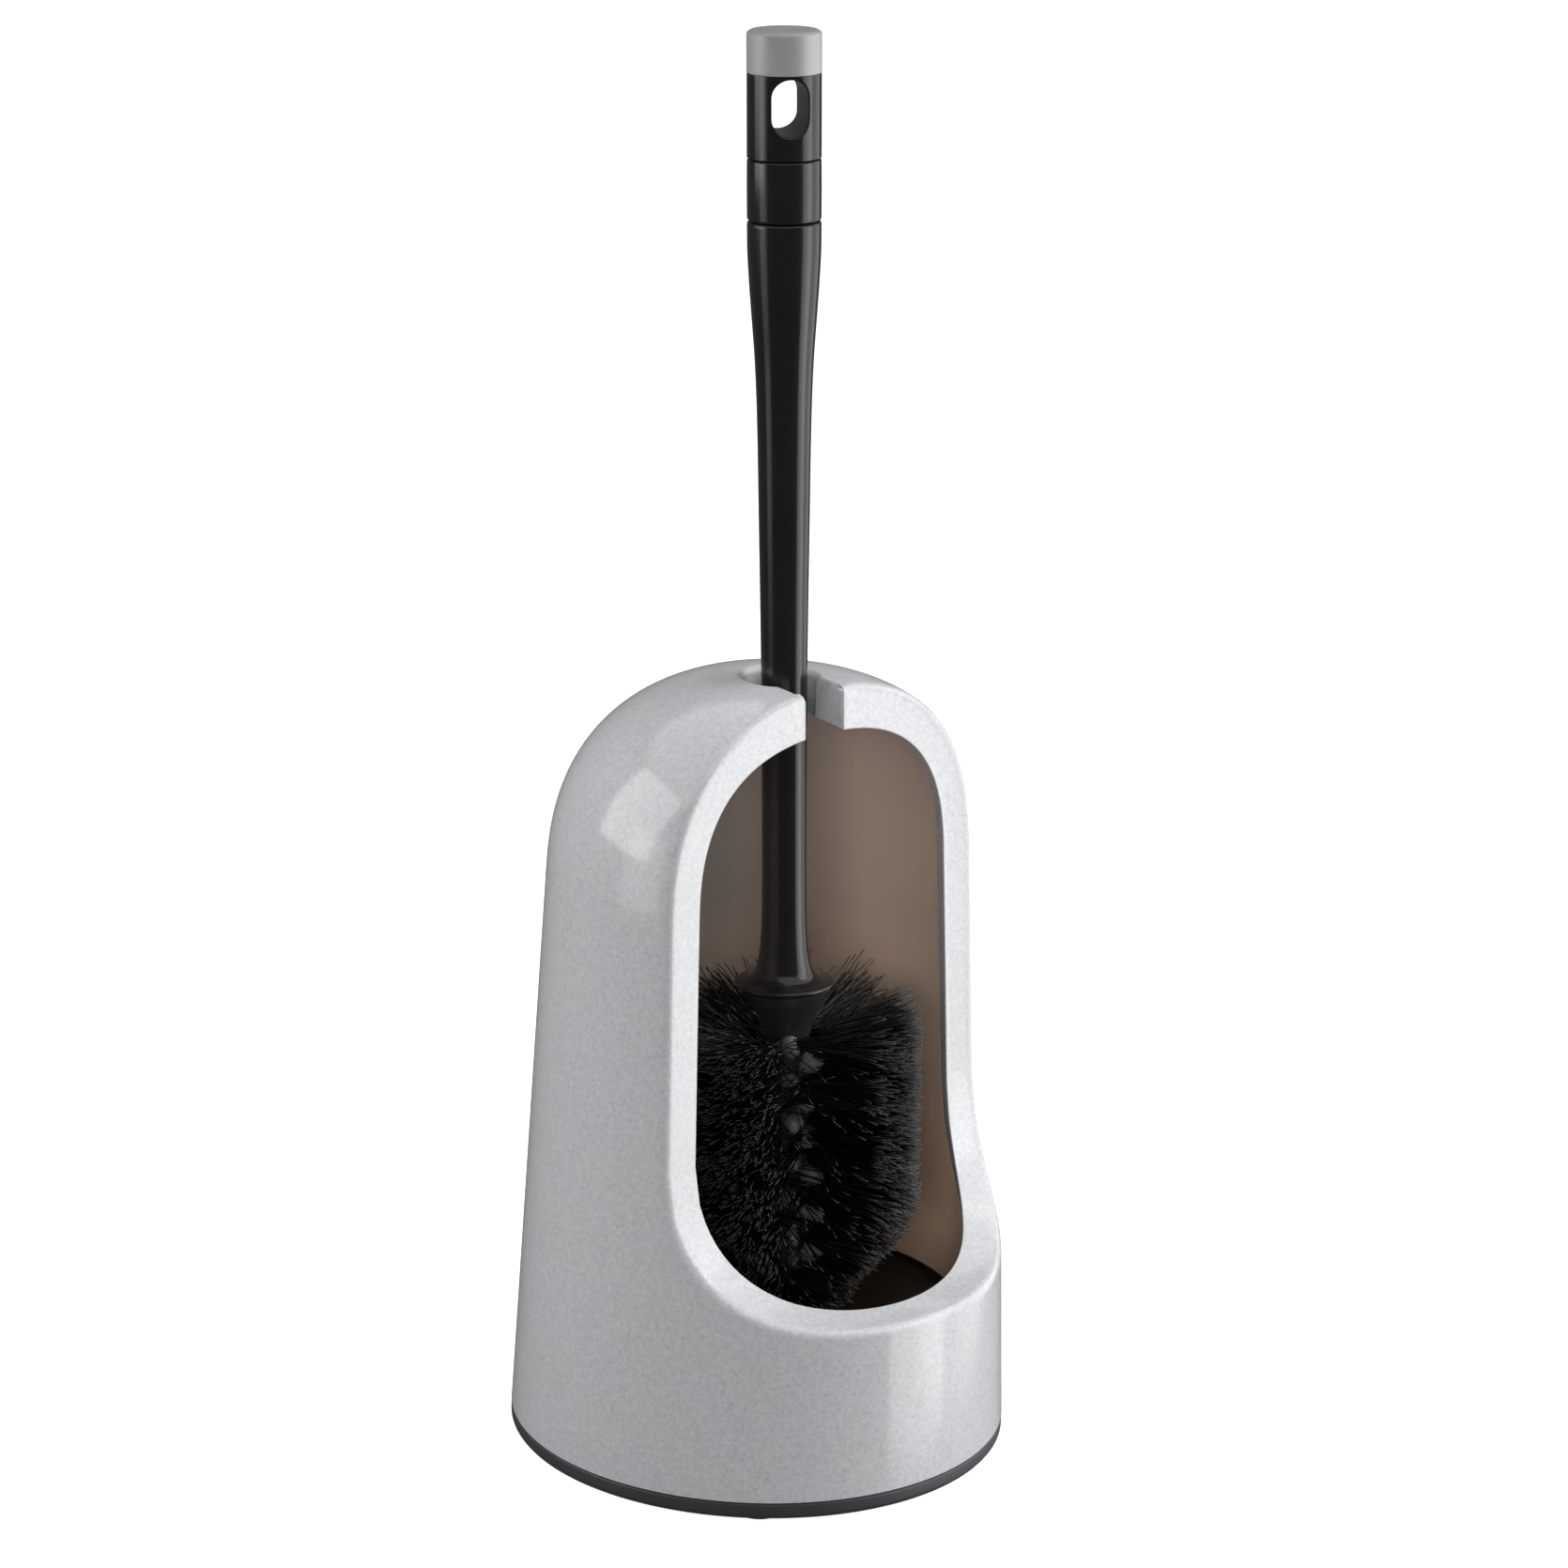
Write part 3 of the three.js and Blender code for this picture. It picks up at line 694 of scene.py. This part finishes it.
def core_boss_grids():
    """Along the bare seam of the core: two columns of bosses that leave the core in turn, and a rib below them."""
    grids = []
    for step in range(12):
        side = SEAM_BOSS_TURN if step % 2 else -SEAM_BOSS_TURN
        height = SEAM_TOP - step * ROW_PITCH * 0.72
        grids.append(dome_on_core(height, SEAM_TURN + SEAM_BOSS_LEAN + side, 5.4 * MM, 5.6 * MM, 6.2 * MM))
    grids.append(dome_on_core(50 * MM, SEAM_TURN, 2.2 * MM, 3.4 * MM, 21 * MM))
    return grids


def part_at_seam(angle, half, rng, kept=0.05):
    """Angles about the axis spread evenly over all but a gap of half on both sides of the seam. A few stay in it."""
    off = (angle - SEAM_TURN + math.pi) % (2 * math.pi) - math.pi
    pushed = np.sign(off) * (half + np.abs(off) * (1 - half / math.pi))
    return SEAM_TURN + np.where(rng.uniform(0, 1, len(angle)) < kept, off, pushed)


def bristles(name, root, way, length, seed, width=0.21 * MM, droop=0.10, crimp=0.55 * MM):
    """Bristles as three-sided tapering strands. A strand's middle line is root + way * t * length, bent sideways by
    droop * t^2 of its length and waved by crimp * t * sin across that, in a random direction; its corners stand
    width from the line, less towards the tip, which is cut off square."""
    rng = np.random.default_rng(seed)
    count, stations = len(root), 8
    t = np.linspace(0.0, 1.0, stations)
    helper = np.where(np.abs(way[:, 2:]) < 0.9, [[0.0, 0.0, 1.0]], [[1.0, 0.0, 0.0]])
    side = np.cross(way, helper)
    side /= np.linalg.norm(side, axis=1, keepdims=True)
    other = np.cross(way, side)
    spin = rng.uniform(0, 2 * math.pi, count)[:, None]
    bent = np.cos(spin) * side + np.sin(spin) * other
    across = np.cos(spin) * other - np.sin(spin) * side
    bend = bent * rng.normal(0, droop, count)[:, None]
    line = root[:, None] + length[:, None, None] * (way[:, None] * t[:, None] + bend[:, None] * t[:, None] ** 2)
    turns = rng.uniform(1.0, 2.6, count)[:, None] * t + rng.uniform(0, 1, count)[:, None]
    wave = crimp * t * np.sin(2 * math.pi * turns) * rng.uniform(0.3, 1.4, count)[:, None]
    line = line + wave[:, :, None] * across[:, None]
    thick = width * (1 - 0.25 * t)[None, :, None, None]
    around = (np.arange(3) * 2 * math.pi / 3)[None, :, None] + spin[:, None]
    ring = np.cos(around) * side[:, None] + np.sin(around) * other[:, None]
    points = on_brush(line[:, :, None] + thick * ring[:, None]).reshape(-1, 3)
    cell, k = np.arange(stations - 1)[:, None] * 3, np.arange(3)[None, :]
    quads = np.stack([cell + k, cell + (k + 1) % 3, cell + 3 + (k + 1) % 3, cell + 3 + k], -1).reshape(-1, 4)
    each = stations * 3
    start = (np.arange(count) * each)[:, None, None]
    sides = (start + quads[None]).reshape(-1, 4)
    tips = start[:, 0] + np.array([[each - 3, each - 2, each - 1]])
    feet = start[:, 0] + np.array([[2, 1, 0]])
    mesh = bpy.data.meshes.new(name)
    mesh.from_pydata(points.tolist(), [], sides.tolist() + tips.tolist() + feet.tolist())
    mesh.update()
    shade = np.repeat(rng.uniform(0, 1, count), each).astype(np.float32)
    along = np.tile(np.repeat(t, 3), count).astype(np.float32)
    mesh.attributes.new("strand", "FLOAT", "POINT").data.foreach_set("value", shade)
    mesh.attributes.new("along", "FLOAT", "POINT").data.foreach_set("value", along)
    mesh.shade_smooth()
    piece = bpy.data.objects.new(name, mesh)
    bpy.context.scene.collection.objects.link(piece)
    return piece


def head_reach(z):
    """The head's radius at a height: even, and drawn in towards its round bottom."""
    return HEAD_RADIUS - 15 * MM * (np.clip(66 * MM - z, 0.0, None) / (22 * MM)) ** 1.5


def bristle_row(row):
    """One turn of tufts: roots on the core in tufts, ends on the head's outline, fanned towards the head's ends, and
    parted at the seam."""
    rng = np.random.default_rng(100 + row)
    tufts, each = 18, 72
    bottom = ROW_START + row * ROW_PITCH
    count = tufts * each
    tuft = np.repeat(np.arange(tufts), each)
    level = (tuft % 2) * 0.5 + 0.25
    angle_root = tuft * 2 * math.pi / tufts + row * 0.31 + rng.normal(0, 0.05, count)
    z_root = bottom + level * ROW_PITCH + rng.normal(0, 0.5 * MM, count)
    angle_tip = part_at_seam(angle_root + rng.normal(0, 0.12, count), SEAM_HALF, rng)
    angle_root = part_at_seam(angle_root, SEAM_HALF * 1.1, rng, 0.0)
    z_tip = ROW_FAN_CENTRE + (z_root - ROW_FAN_CENTRE) * ROW_FAN + rng.normal(0, 2.2 * MM, count)
    z_tip = np.minimum(z_tip, 118.5 * MM)
    reach = head_reach(z_tip) - np.abs(rng.normal(0, 1.3 * MM, count)) + 0.6 * MM
    root_radius = CORE_RADIUS - 0.4 * MM
    root = np.stack([root_radius * np.cos(angle_root), root_radius * np.sin(angle_root), z_root], 1)
    tip = np.stack([reach * np.cos(angle_tip), reach * np.sin(angle_tip), z_tip], 1)
    way = tip - root
    length = np.linalg.norm(way, axis=1)
    return bristles(f"bristles_row_{row + 1}", root, way / length[:, None], length, 200 + row, droop=0.06)


def bristle_tip():
    """The tufts at the core's end: roots on the end, ends on the head's round bottom, crimped more than the rest."""
    rng = np.random.default_rng(77)
    count = 1500
    angle = rng.uniform(0, 2 * math.pi, count)
    spread = rng.uniform(0.0, 1.0, count) ** 0.5
    root_radius = 5.2 * MM * spread
    root = np.stack([root_radius * np.cos(angle), root_radius * np.sin(angle), CORE_BOTTOM + 2.6 * MM * spread**4], 1)
    reach = 20.0 * MM * spread + rng.normal(0, 0.6 * MM, count)
    depth = TIP_BOTTOM + 9.0 * MM * spread**2.4 + np.abs(rng.normal(0, 0.7 * MM, count))
    tip = np.stack([reach * np.cos(angle), reach * np.sin(angle), depth], 1)
    way = tip - root
    length = np.linalg.norm(way, axis=1)
    return bristles("bristles_tip", root, way / length[:, None], length, 78, droop=0.10)


def stray_bristles():
    """The longer bristles of the top turn that stand up past the flange in a loose crown."""
    rng = np.random.default_rng(31)
    count = 100
    angle = part_at_seam(rng.uniform(0, 2 * math.pi, count), math.radians(36), rng, 0.0)
    z_root = rng.uniform(104 * MM, 109 * MM, count)
    rise = np.radians(rng.uniform(12, 46, count))
    length = rng.uniform(23 * MM, 29 * MM, count)
    root_radius = 7.4 * MM
    root = np.stack([root_radius * np.cos(angle), root_radius * np.sin(angle), z_root], 1)
    way = np.stack([np.cos(rise) * np.cos(angle), np.cos(rise) * np.sin(angle), np.sin(rise)], 1)
    return bristles("bristles_crown", root, way, length, 32, droop=0.10)


# ---------------------------------------------------------------- materials


class Value:
    """A socket that takes part in arithmetic: an expression on values adds its Math nodes."""

    def __init__(self, shader, socket):
        self.shader, self.socket = shader, socket

    def _math(self, operation, *values):
        return self.shader.node("ShaderNodeMath", {"operation": operation}, dict(enumerate(values)))["Value"]

    def __add__(self, other):
        return self._math("ADD", self, other)

    def __radd__(self, other):
        return self._math("ADD", other, self)

    def __sub__(self, other):
        return self._math("SUBTRACT", self, other)

    def __rsub__(self, other):
        return self._math("SUBTRACT", other, self)

    def __mul__(self, other):
        return self._math("MULTIPLY", self, other)

    def __rmul__(self, other):
        return self._math("MULTIPLY", other, self)

    def clamp(self):
        return self.shader.node("ShaderNodeMath", {"operation": "MULTIPLY", "use_clamp": True}, {0: self, 1: 1.0})[
            "Value"
        ]


class Outputs:
    """The output sockets of a node, by name, as values."""

    def __init__(self, shader, node):
        self.shader, self.made = shader, node

    def __getitem__(self, name):
        return Value(self.shader, self.made.outputs[name])


class Shader:
    """A material with a Principled shader. Varying signals and constants are set by name."""

    def __init__(self, name, **constants):
        self.material = bpy.data.materials.new(name)
        self.material.use_nodes = True
        self.tree = self.material.node_tree
        self.surface = self.tree.nodes["Principled BSDF"]
        self.set(self.surface, constants)

    def set(self, node, inputs):
        for key, value in inputs.items():
            socket = node.inputs[key]
            if isinstance(value, Value):
                self.tree.links.new(value.socket, socket)
            else:
                socket.default_value = value

    def node(self, kind, settings=None, inputs=None):
        """A node of any type: settings first, then the values or links of its sockets."""
        made = self.tree.nodes.new(kind)
        for key, value in (settings or {}).items():
            if key == "stops":
                self._stops(made.color_ramp, value)
            else:
                setattr(made, key, value)
        self.set(made, inputs or {})
        return Outputs(self, made)

    def _stops(self, ramp, stops):
        while len(ramp.elements) < len(stops):
            ramp.elements.new(0.5)
        for element, (place, tone) in zip(ramp.elements, stops):
            element.position = place
            element.color = (tone, tone, tone, 1.0) if isinstance(tone, float) else (*tone, 1.0)

    def place(self):
        return self.node("ShaderNodeTexCoord")["Object"]

    def noise(self, scale, detail=2.0, roughness=0.5, vector=None):
        inputs = {"Vector": vector or self.place(), "Scale": scale, "Detail": detail, "Roughness": roughness}
        return self.node("ShaderNodeTexNoise", {}, inputs)["Fac"]

    def spots(self, scale, size, soft):
        """Round spots, one in some cells of a random cell pattern: 1 inside a spot and 0 outside."""
        cells = self.node(
            "ShaderNodeTexVoronoi", {"feature": "F1"}, {"Vector": self.place(), "Scale": scale, "Randomness": 1.0}
        )
        return self.node(
            "ShaderNodeMapRange",
            {"interpolation_type": "SMOOTHSTEP"},
            {"Value": cells["Distance"], "From Min": size + soft, "From Max": size, "To Min": 0.0, "To Max": 1.0},
        )["Result"], cells["Color"]

    def ramp(self, value, stops):
        return self.node("ShaderNodeValToRGB", {"stops": stops}, {"Fac": value})["Color"]

    def mix(self, share, first, second):
        inputs = {"Factor": share, "A": first, "B": second}
        made = self.tree.nodes.new("ShaderNodeMix")
        made.data_type = "RGBA"
        colour_inputs = {"Factor": made.inputs[0], "A": made.inputs[6], "B": made.inputs[7]}
        for key, value in inputs.items():
            if isinstance(value, Value):
                self.tree.links.new(value.socket, colour_inputs[key])
            else:
                colour_inputs[key].default_value = value if isinstance(value, float) else (*value, 1.0)
        return Value(self, made.outputs[2])

    def bump(self, height, strength, distance):
        return self.node("ShaderNodeBump", {}, {"Height": height, "Strength": strength, "Distance": distance})[
            "Normal"
        ]

    def finish(self, **signals):
        self.set(self.surface, {key.replace("_", " "): value for key, value in signals.items()})
        return self.material


def shell_plastic():
    """Light grey glossy plastic with a fine granite speckle in two sizes, soft clouds of a warmer and a cooler grey,
    and faint wiping marks in the gloss."""
    shader = Shader("speckled_grey_plastic", **{"Specular IOR Level": 0.5})
    fine, fine_tone = shader.spots(1150.0, 0.20, 0.30)
    coarse, coarse_tone = shader.spots(620.0, 0.16, 0.22)
    kept_fine = shader.ramp(fine_tone, [(0.30, 0.0), (0.70, 1.0)])
    kept_coarse = shader.ramp(coarse_tone, [(0.48, 0.0), (0.72, 1.0)])
    cloud = shader.noise(60.0, 2.0, 0.5)
    mottle = shader.ramp(shader.noise(780.0, 3.0, 0.65), [(0.36, 0.0), (0.64, 1.0)])
    base = shader.mix(cloud, (0.340, 0.342, 0.343), (0.340, 0.350, 0.368))
    base = shader.mix(mottle * 0.55, base, (0.262, 0.264, 0.274))
    base = shader.mix(fine * kept_fine * 0.26, base, (0.205, 0.208, 0.218))
    base = shader.mix(coarse * kept_coarse * 0.26, base, (0.175, 0.178, 0.188))
    wipe = shader.noise(26.0, 4.0, 0.62)
    grain = shader.noise(2600.0, 1.0, 0.5)
    return shader.finish(
        Base_Color=base,
        Roughness=0.07 + wipe * 0.10,
        Normal=shader.bump(grain, 0.05, 0.0001),
    )


def liner_plastic():
    """Taupe plastic with painted warm light: lighter and warmer low down and on its right side, with fine moulding
    grain, faint upright drag marks and water haze.
    """
    shader = Shader("taupe_plastic", **{"Specular IOR Level": 0.45})
    place = shader.place()
    axes = shader.node("ShaderNodeSeparateXYZ", {}, {"Vector": place})
    # Masks of painted light: the liner is painted lighter and warmer lower down and towards its right side
    low = shader.node("ShaderNodeMapRange", {}, {"Value": axes["Z"], "From Min": 0.130, "From Max": 0.060})["Result"]
    side = shader.node("ShaderNodeMapRange", {}, {"Value": axes["X"], "From Min": 0.026, "From Max": 0.052})["Result"]
    painted_warm_light = low * 0.72 + side * 0.34
    stretched = shader.node("ShaderNodeMapping", {}, {"Vector": place, "Scale": (1.0, 1.0, 0.06)})["Vector"]
    drag = shader.noise(420.0, 3.0, 0.6, stretched)
    haze = shader.noise(32.0, 4.0, 0.6)
    # Painted warm light: where the masks rise, the taupe turns to a light, warm tone
    colour = shader.mix(painted_warm_light, (0.300, 0.256, 0.230), (0.90, 0.62, 0.42))
    colour = shader.mix(haze * 0.20, colour, (0.34, 0.28, 0.24))
    colour = shader.mix(drag * 0.12, colour, (0.62, 0.54, 0.47))
    grain = shader.noise(1900.0, 2.0, 0.5)
    return shader.finish(
        Base_Color=colour,
        Roughness=0.30 + haze * 0.2,
        Normal=shader.bump(grain * 0.6 + drag * 0.4, 0.12, 0.0002),
    )


def black_plastic(name, tone, rough, grain_strength, streak, shine=0.5):
    """Black or grey moulded plastic: a tone with slow clouds, wiping marks in the gloss, and fine grain."""
    shader = Shader(name, **{"Specular IOR Level": shine})
    cloud = shader.noise(70.0, 3.0, 0.6)
    scuff = shader.noise(260.0, 4.0, 0.7)
    light = tuple(channel * 1.5 + 0.002 for channel in tone)
    colour = shader.mix(cloud, tone, light)
    colour = shader.mix(shader.ramp(scuff, [(0.62, 0.0), (0.80, 1.0)]) * streak, colour, (0.10, 0.10, 0.10))
    grain = shader.noise(2400.0, 2.0, 0.5)
    return shader.finish(
        Base_Color=colour,
        Roughness=rough + cloud * 0.10 + scuff * 0.06,
        Normal=shader.bump(grain + scuff * 0.5, grain_strength, 0.0002),
    )


def foot_rubber():
    """Matte black rubber with a dusty bloom and a fine pitted surface."""
    shader = Shader("foot_rubber", **{"Specular IOR Level": 0.3})
    bloom = shader.noise(180.0, 4.0, 0.65)
    pits = shader.noise(1500.0, 2.0, 0.6)
    colour = shader.mix(bloom, (0.012, 0.012, 0.012), (0.040, 0.039, 0.037))
    return shader.finish(
        Base_Color=colour,
        Roughness=0.72 + bloom * 0.18,
        Normal=shader.bump(pits, 0.3, 0.0003),
    )


def screw_steel():
    """Zinc-plated steel with fine turning marks and dull patches."""
    shader = Shader("screw_steel", **{"Metallic": 1.0})
    patch = shader.noise(500.0, 3.0, 0.6)
    fine = shader.noise(3000.0, 2.0, 0.5)
    colour = shader.mix(patch, (0.50, 0.50, 0.48), (0.66, 0.66, 0.64))
    return shader.finish(
        Base_Color=colour,
        Roughness=0.28 + patch * 0.22,
        Normal=shader.bump(fine, 0.15, 0.0002),
    )


def bristle_nylon():
    """Black nylon strands: each strand has its own tone, paler and rougher towards the cut tip."""
    shader = Shader("bristle_nylon", **{"Specular IOR Level": 0.45})
    strand = shader.node("ShaderNodeAttribute", {"attribute_name": "strand"})["Fac"]
    along = shader.node("ShaderNodeAttribute", {"attribute_name": "along"})["Fac"]
    body = shader.mix(strand, (0.0010, 0.0010, 0.0011), (0.0060, 0.0056, 0.0056))
    tip = shader.ramp(along, [(0.86, 0.0), (1.0, 1.0)])
    colour = shader.mix(tip * strand * 0.8, body, (0.042, 0.040, 0.038))
    grain = shader.noise(2200.0, 2.0, 0.5)
    return shader.finish(
        Base_Color=colour,
        Roughness=0.20 + strand * 0.14 + grain * 0.06,
        Normal=shader.bump(grain, 0.1, 0.0001),
    )


def floor_paper():
    """The plain white floor. It glows to the camera, so that it stays white while its bounce stays low."""
    shader = Shader("floor_paper", **{"Specular IOR Level": 0.1, "Emission Strength": 0.90})
    fibre = shader.noise(6.0, 3.0, 0.5)
    colour = shader.mix(fibre, (0.36, 0.36, 0.36), (0.40, 0.40, 0.40))
    seen = shader.node("ShaderNodeLightPath")["Is Camera Ray"]
    glow = shader.mix(seen, (0.05, 0.05, 0.05), (1.0, 1.0, 1.0))
    return shader.finish(Base_Color=colour, Roughness=0.9 + fibre * 0.05, Emission_Color=glow)


# ---------------------------------------------------------------- assembly


def make_stand():
    speckled = shell_plastic()
    shell = piece_from_grids("shell_wall", outer_shell_grids(), mirror=True)
    finish_piece(shell, speckled, "shell_plastic", "stand", "outer_shell")
    liner = piece_from_grids("liner_wall", liner_grids(), mirror=True)
    finish_piece(liner, liner_plastic(), "liner_plastic", "stand", "inner_liner")
    tray = piece_from_grids("tray_floor", drip_tray_grids(), crease=60)
    finish_piece(tray, black_plastic("tray_plastic", (0.009, 0.007, 0.005), 0.38, 0.15, 0.2), "tray_plastic", "stand", "drip_tray")
    base = piece_from_grids("base_ring", base_plate_grids(), crease=60)
    finish_piece(base, black_plastic("base_plastic", (0.0145, 0.017, 0.019), 0.46, 0.2, 0.2), "base_plastic", "stand", "base_plate")
    rubber, steel = foot_rubber(), screw_steel()
    for number in range(1, 5):
        node = f"foot_pad_{number}"
        pad = piece_from_grids(f"rubber_foot_{number}", foot_pad_grids(node), crease=60)
        finish_piece(pad, rubber, "foot_rubber", "stand", node)
        screw = frame["nodes"][f"base_screw_{number}"]
        screw.data.materials.clear()
        screw.data.materials.append(steel)


def make_brush():
    black = black_plastic("handle_plastic", (0.0040, 0.0036, 0.0040), 0.10, 0.04, 0.02, 0.36)
    grey = black_plastic("cap_plastic", (0.150, 0.150, 0.152), 0.30, 0.15, 0.0)
    core_black = black_plastic("core_plastic", (0.010, 0.010, 0.0105), 0.16, 0.06, 0.1)
    # Painted highlight: the bosses are the core's black plastic, given a lighter grey tone that stands in for the
    # glints on them
    boss_painted_highlight = black_plastic("core_plastic_painted_highlight", (0.075, 0.075, 0.077), 0.16, 0.06, 0.0)
    parts = (
        ("cap_crown", end_cap_grids(), grey, "cap_plastic", ["end_cap"]),
        ("grip_hanger", grip_top_grids(), black, "handle_plastic", ["grip_top"]),
        ("grip_sleeve", grip_band_grids(), black, "handle_plastic", ["grip_band"]),
        ("shaft_taper", handle_shaft_grids(), black, "handle_plastic", ["handle_shaft"]),
        ("core_collar", head_core_grids(), core_black, "core_plastic", ["head_core"]),
        ("core_bosses", core_boss_grids(), boss_painted_highlight, "core_plastic", []),
    )
    for name, grids, material, slot, nodes in parts:
        finish_piece(piece_from_grids(name, grids), material, slot, "brush", *nodes)


def make_head():
    nylon = bristle_nylon()
    for row in range(ROW_COUNT):
        finish_piece(bristle_row(row), nylon, "bristle_nylon", "brush", f"bristle_row_{row + 1}")
    finish_piece(bristle_tip(), nylon, "bristle_nylon", "brush", "bristle_tip")
    finish_piece(stray_bristles(), nylon, "bristle_nylon", "brush")


# ---------------------------------------------------------------- floor, light and camera


def make_floor():
    mesh = bpy.data.meshes.new("floor")
    reach = 30.0
    mesh.from_pydata([(-reach, -reach, 0), (reach, -reach, 0), (reach, reach, 0), (-reach, reach, 0)], [], [(0, 1, 2, 3)])
    floor = bpy.data.objects.new("floor", mesh)
    bpy.context.scene.collection.objects.link(floor)
    floor.data.materials.append(floor_paper())
    floor.visible_glossy = False


def view_axes():
    """The camera's right, up and forward directions: forward is turned, pitched down, and rolled about itself."""
    cp, sp = math.cos(VIEW_PITCH), math.sin(VIEW_PITCH)
    cy, sy = math.cos(VIEW_YAW), math.sin(VIEW_YAW)
    forward = np.array([sy * cp, cy * cp, -sp])
    right = np.array([cy, -sy, 0.0])
    up = np.cross(right, forward)
    rolled_right = right * math.cos(VIEW_ROLL) + up * math.sin(VIEW_ROLL)
    rolled_up = -right * math.sin(VIEW_ROLL) + up * math.cos(VIEW_ROLL)
    c, s = math.cos(-VIEW_TURN), math.sin(-VIEW_TURN)
    turn = np.array([[c, -s, 0.0], [s, c, 0.0], [0.0, 0.0, 1.0]])
    return turn @ rolled_right, turn @ rolled_up, turn @ forward, turn @ np.array([0.0, -VIEW_DISTANCE, VIEW_HEIGHT])


def make_camera():
    right, up, forward, place = view_axes()
    lens = bpy.data.cameras.new("camera")
    lens.lens = VIEW_LENS
    lens.sensor_width = 36.0
    lens.clip_end = 50.0
    lens.dof.use_dof = False
    camera = bpy.data.objects.new("camera", lens)
    turn = Matrix([[right[i], up[i], -forward[i]] for i in range(3)]).to_4x4()
    camera.matrix_world = Matrix.Translation(place) @ turn
    bpy.context.scene.collection.objects.link(camera)
    bpy.context.scene.camera = camera


def area_light(name, azimuth, elevation, distance, size, power, tint=(1.0, 1.0, 1.0), aim=(0.0, 0.0, 0.13)):
    """A soft box at an azimuth round from the camera (positive to the right) and an elevation, aimed at the stand."""
    angle = math.radians(azimuth) - VIEW_TURN
    e = math.radians(elevation)
    away = np.array([math.sin(angle) * math.cos(e), -math.cos(angle) * math.cos(e), math.sin(e)])
    light = bpy.data.lights.new(name, "AREA")
    light.shape = "RECTANGLE"
    light.size, light.size_y = size
    light.energy = power
    light.color = tint
    box = bpy.data.objects.new(name, light)
    place = np.array(aim) + away * distance
    right = np.cross([0.0, 0.0, 1.0], away)
    right /= np.linalg.norm(right)
    up = np.cross(away, right)
    turn = Matrix([[right[i], up[i], away[i]] for i in range(3)]).to_4x4()
    box.matrix_world = Matrix.Translation(place) @ turn
    bpy.context.scene.collection.objects.link(box)
    return box


def make_lights():
    """A large soft box on the right, a square one on the left, a weak fill in front, and an even light from above."""
    key = area_light("key_right", 104, 26, 1.1, (0.50, 0.70), 15.4)
    kick = area_light("kick_left", -112, 24, 0.8, (0.30, 0.40), 2.1)
    fill = area_light("fill_front", -6, 12, 1.5, (0.6, 0.6), 7.0)
    for light in (key, kick, fill):
        light.visible_glossy = False
    area_light("card_right", 78, 8, 0.9, (0.56, 1.20), 6.3)
    area_light("card_side", 106, 8, 0.9, (1.05, 1.20), 6.2)
    area_light("box_left", -82, 23, 0.62, (0.40, 0.40), 1.8, aim=(0.0, 0.0, 0.17))
    area_light("card_left", -68, -5, 1.0, (0.40, 0.55), 1.1, aim=(0.0, 0.0, 0.32))
    above = bpy.data.lights.new("above", "SUN")
    above.energy = 2.3
    above.angle = math.radians(100)
    bpy.context.scene.collection.objects.link(bpy.data.objects.new("above", above))
    world = bpy.data.worlds.new("studio")
    world.use_nodes = True
    world.node_tree.nodes["Background"].inputs["Color"].default_value = (1.0, 1.0, 1.0, 1.0)
    world.node_tree.nodes["Background"].inputs["Strength"].default_value = 0.12
    bpy.context.scene.world = world
    bpy.context.scene.view_settings.view_transform = "Standard"


make_camera()
make_lights()
make_floor()
make_stand()
make_brush()
make_head()
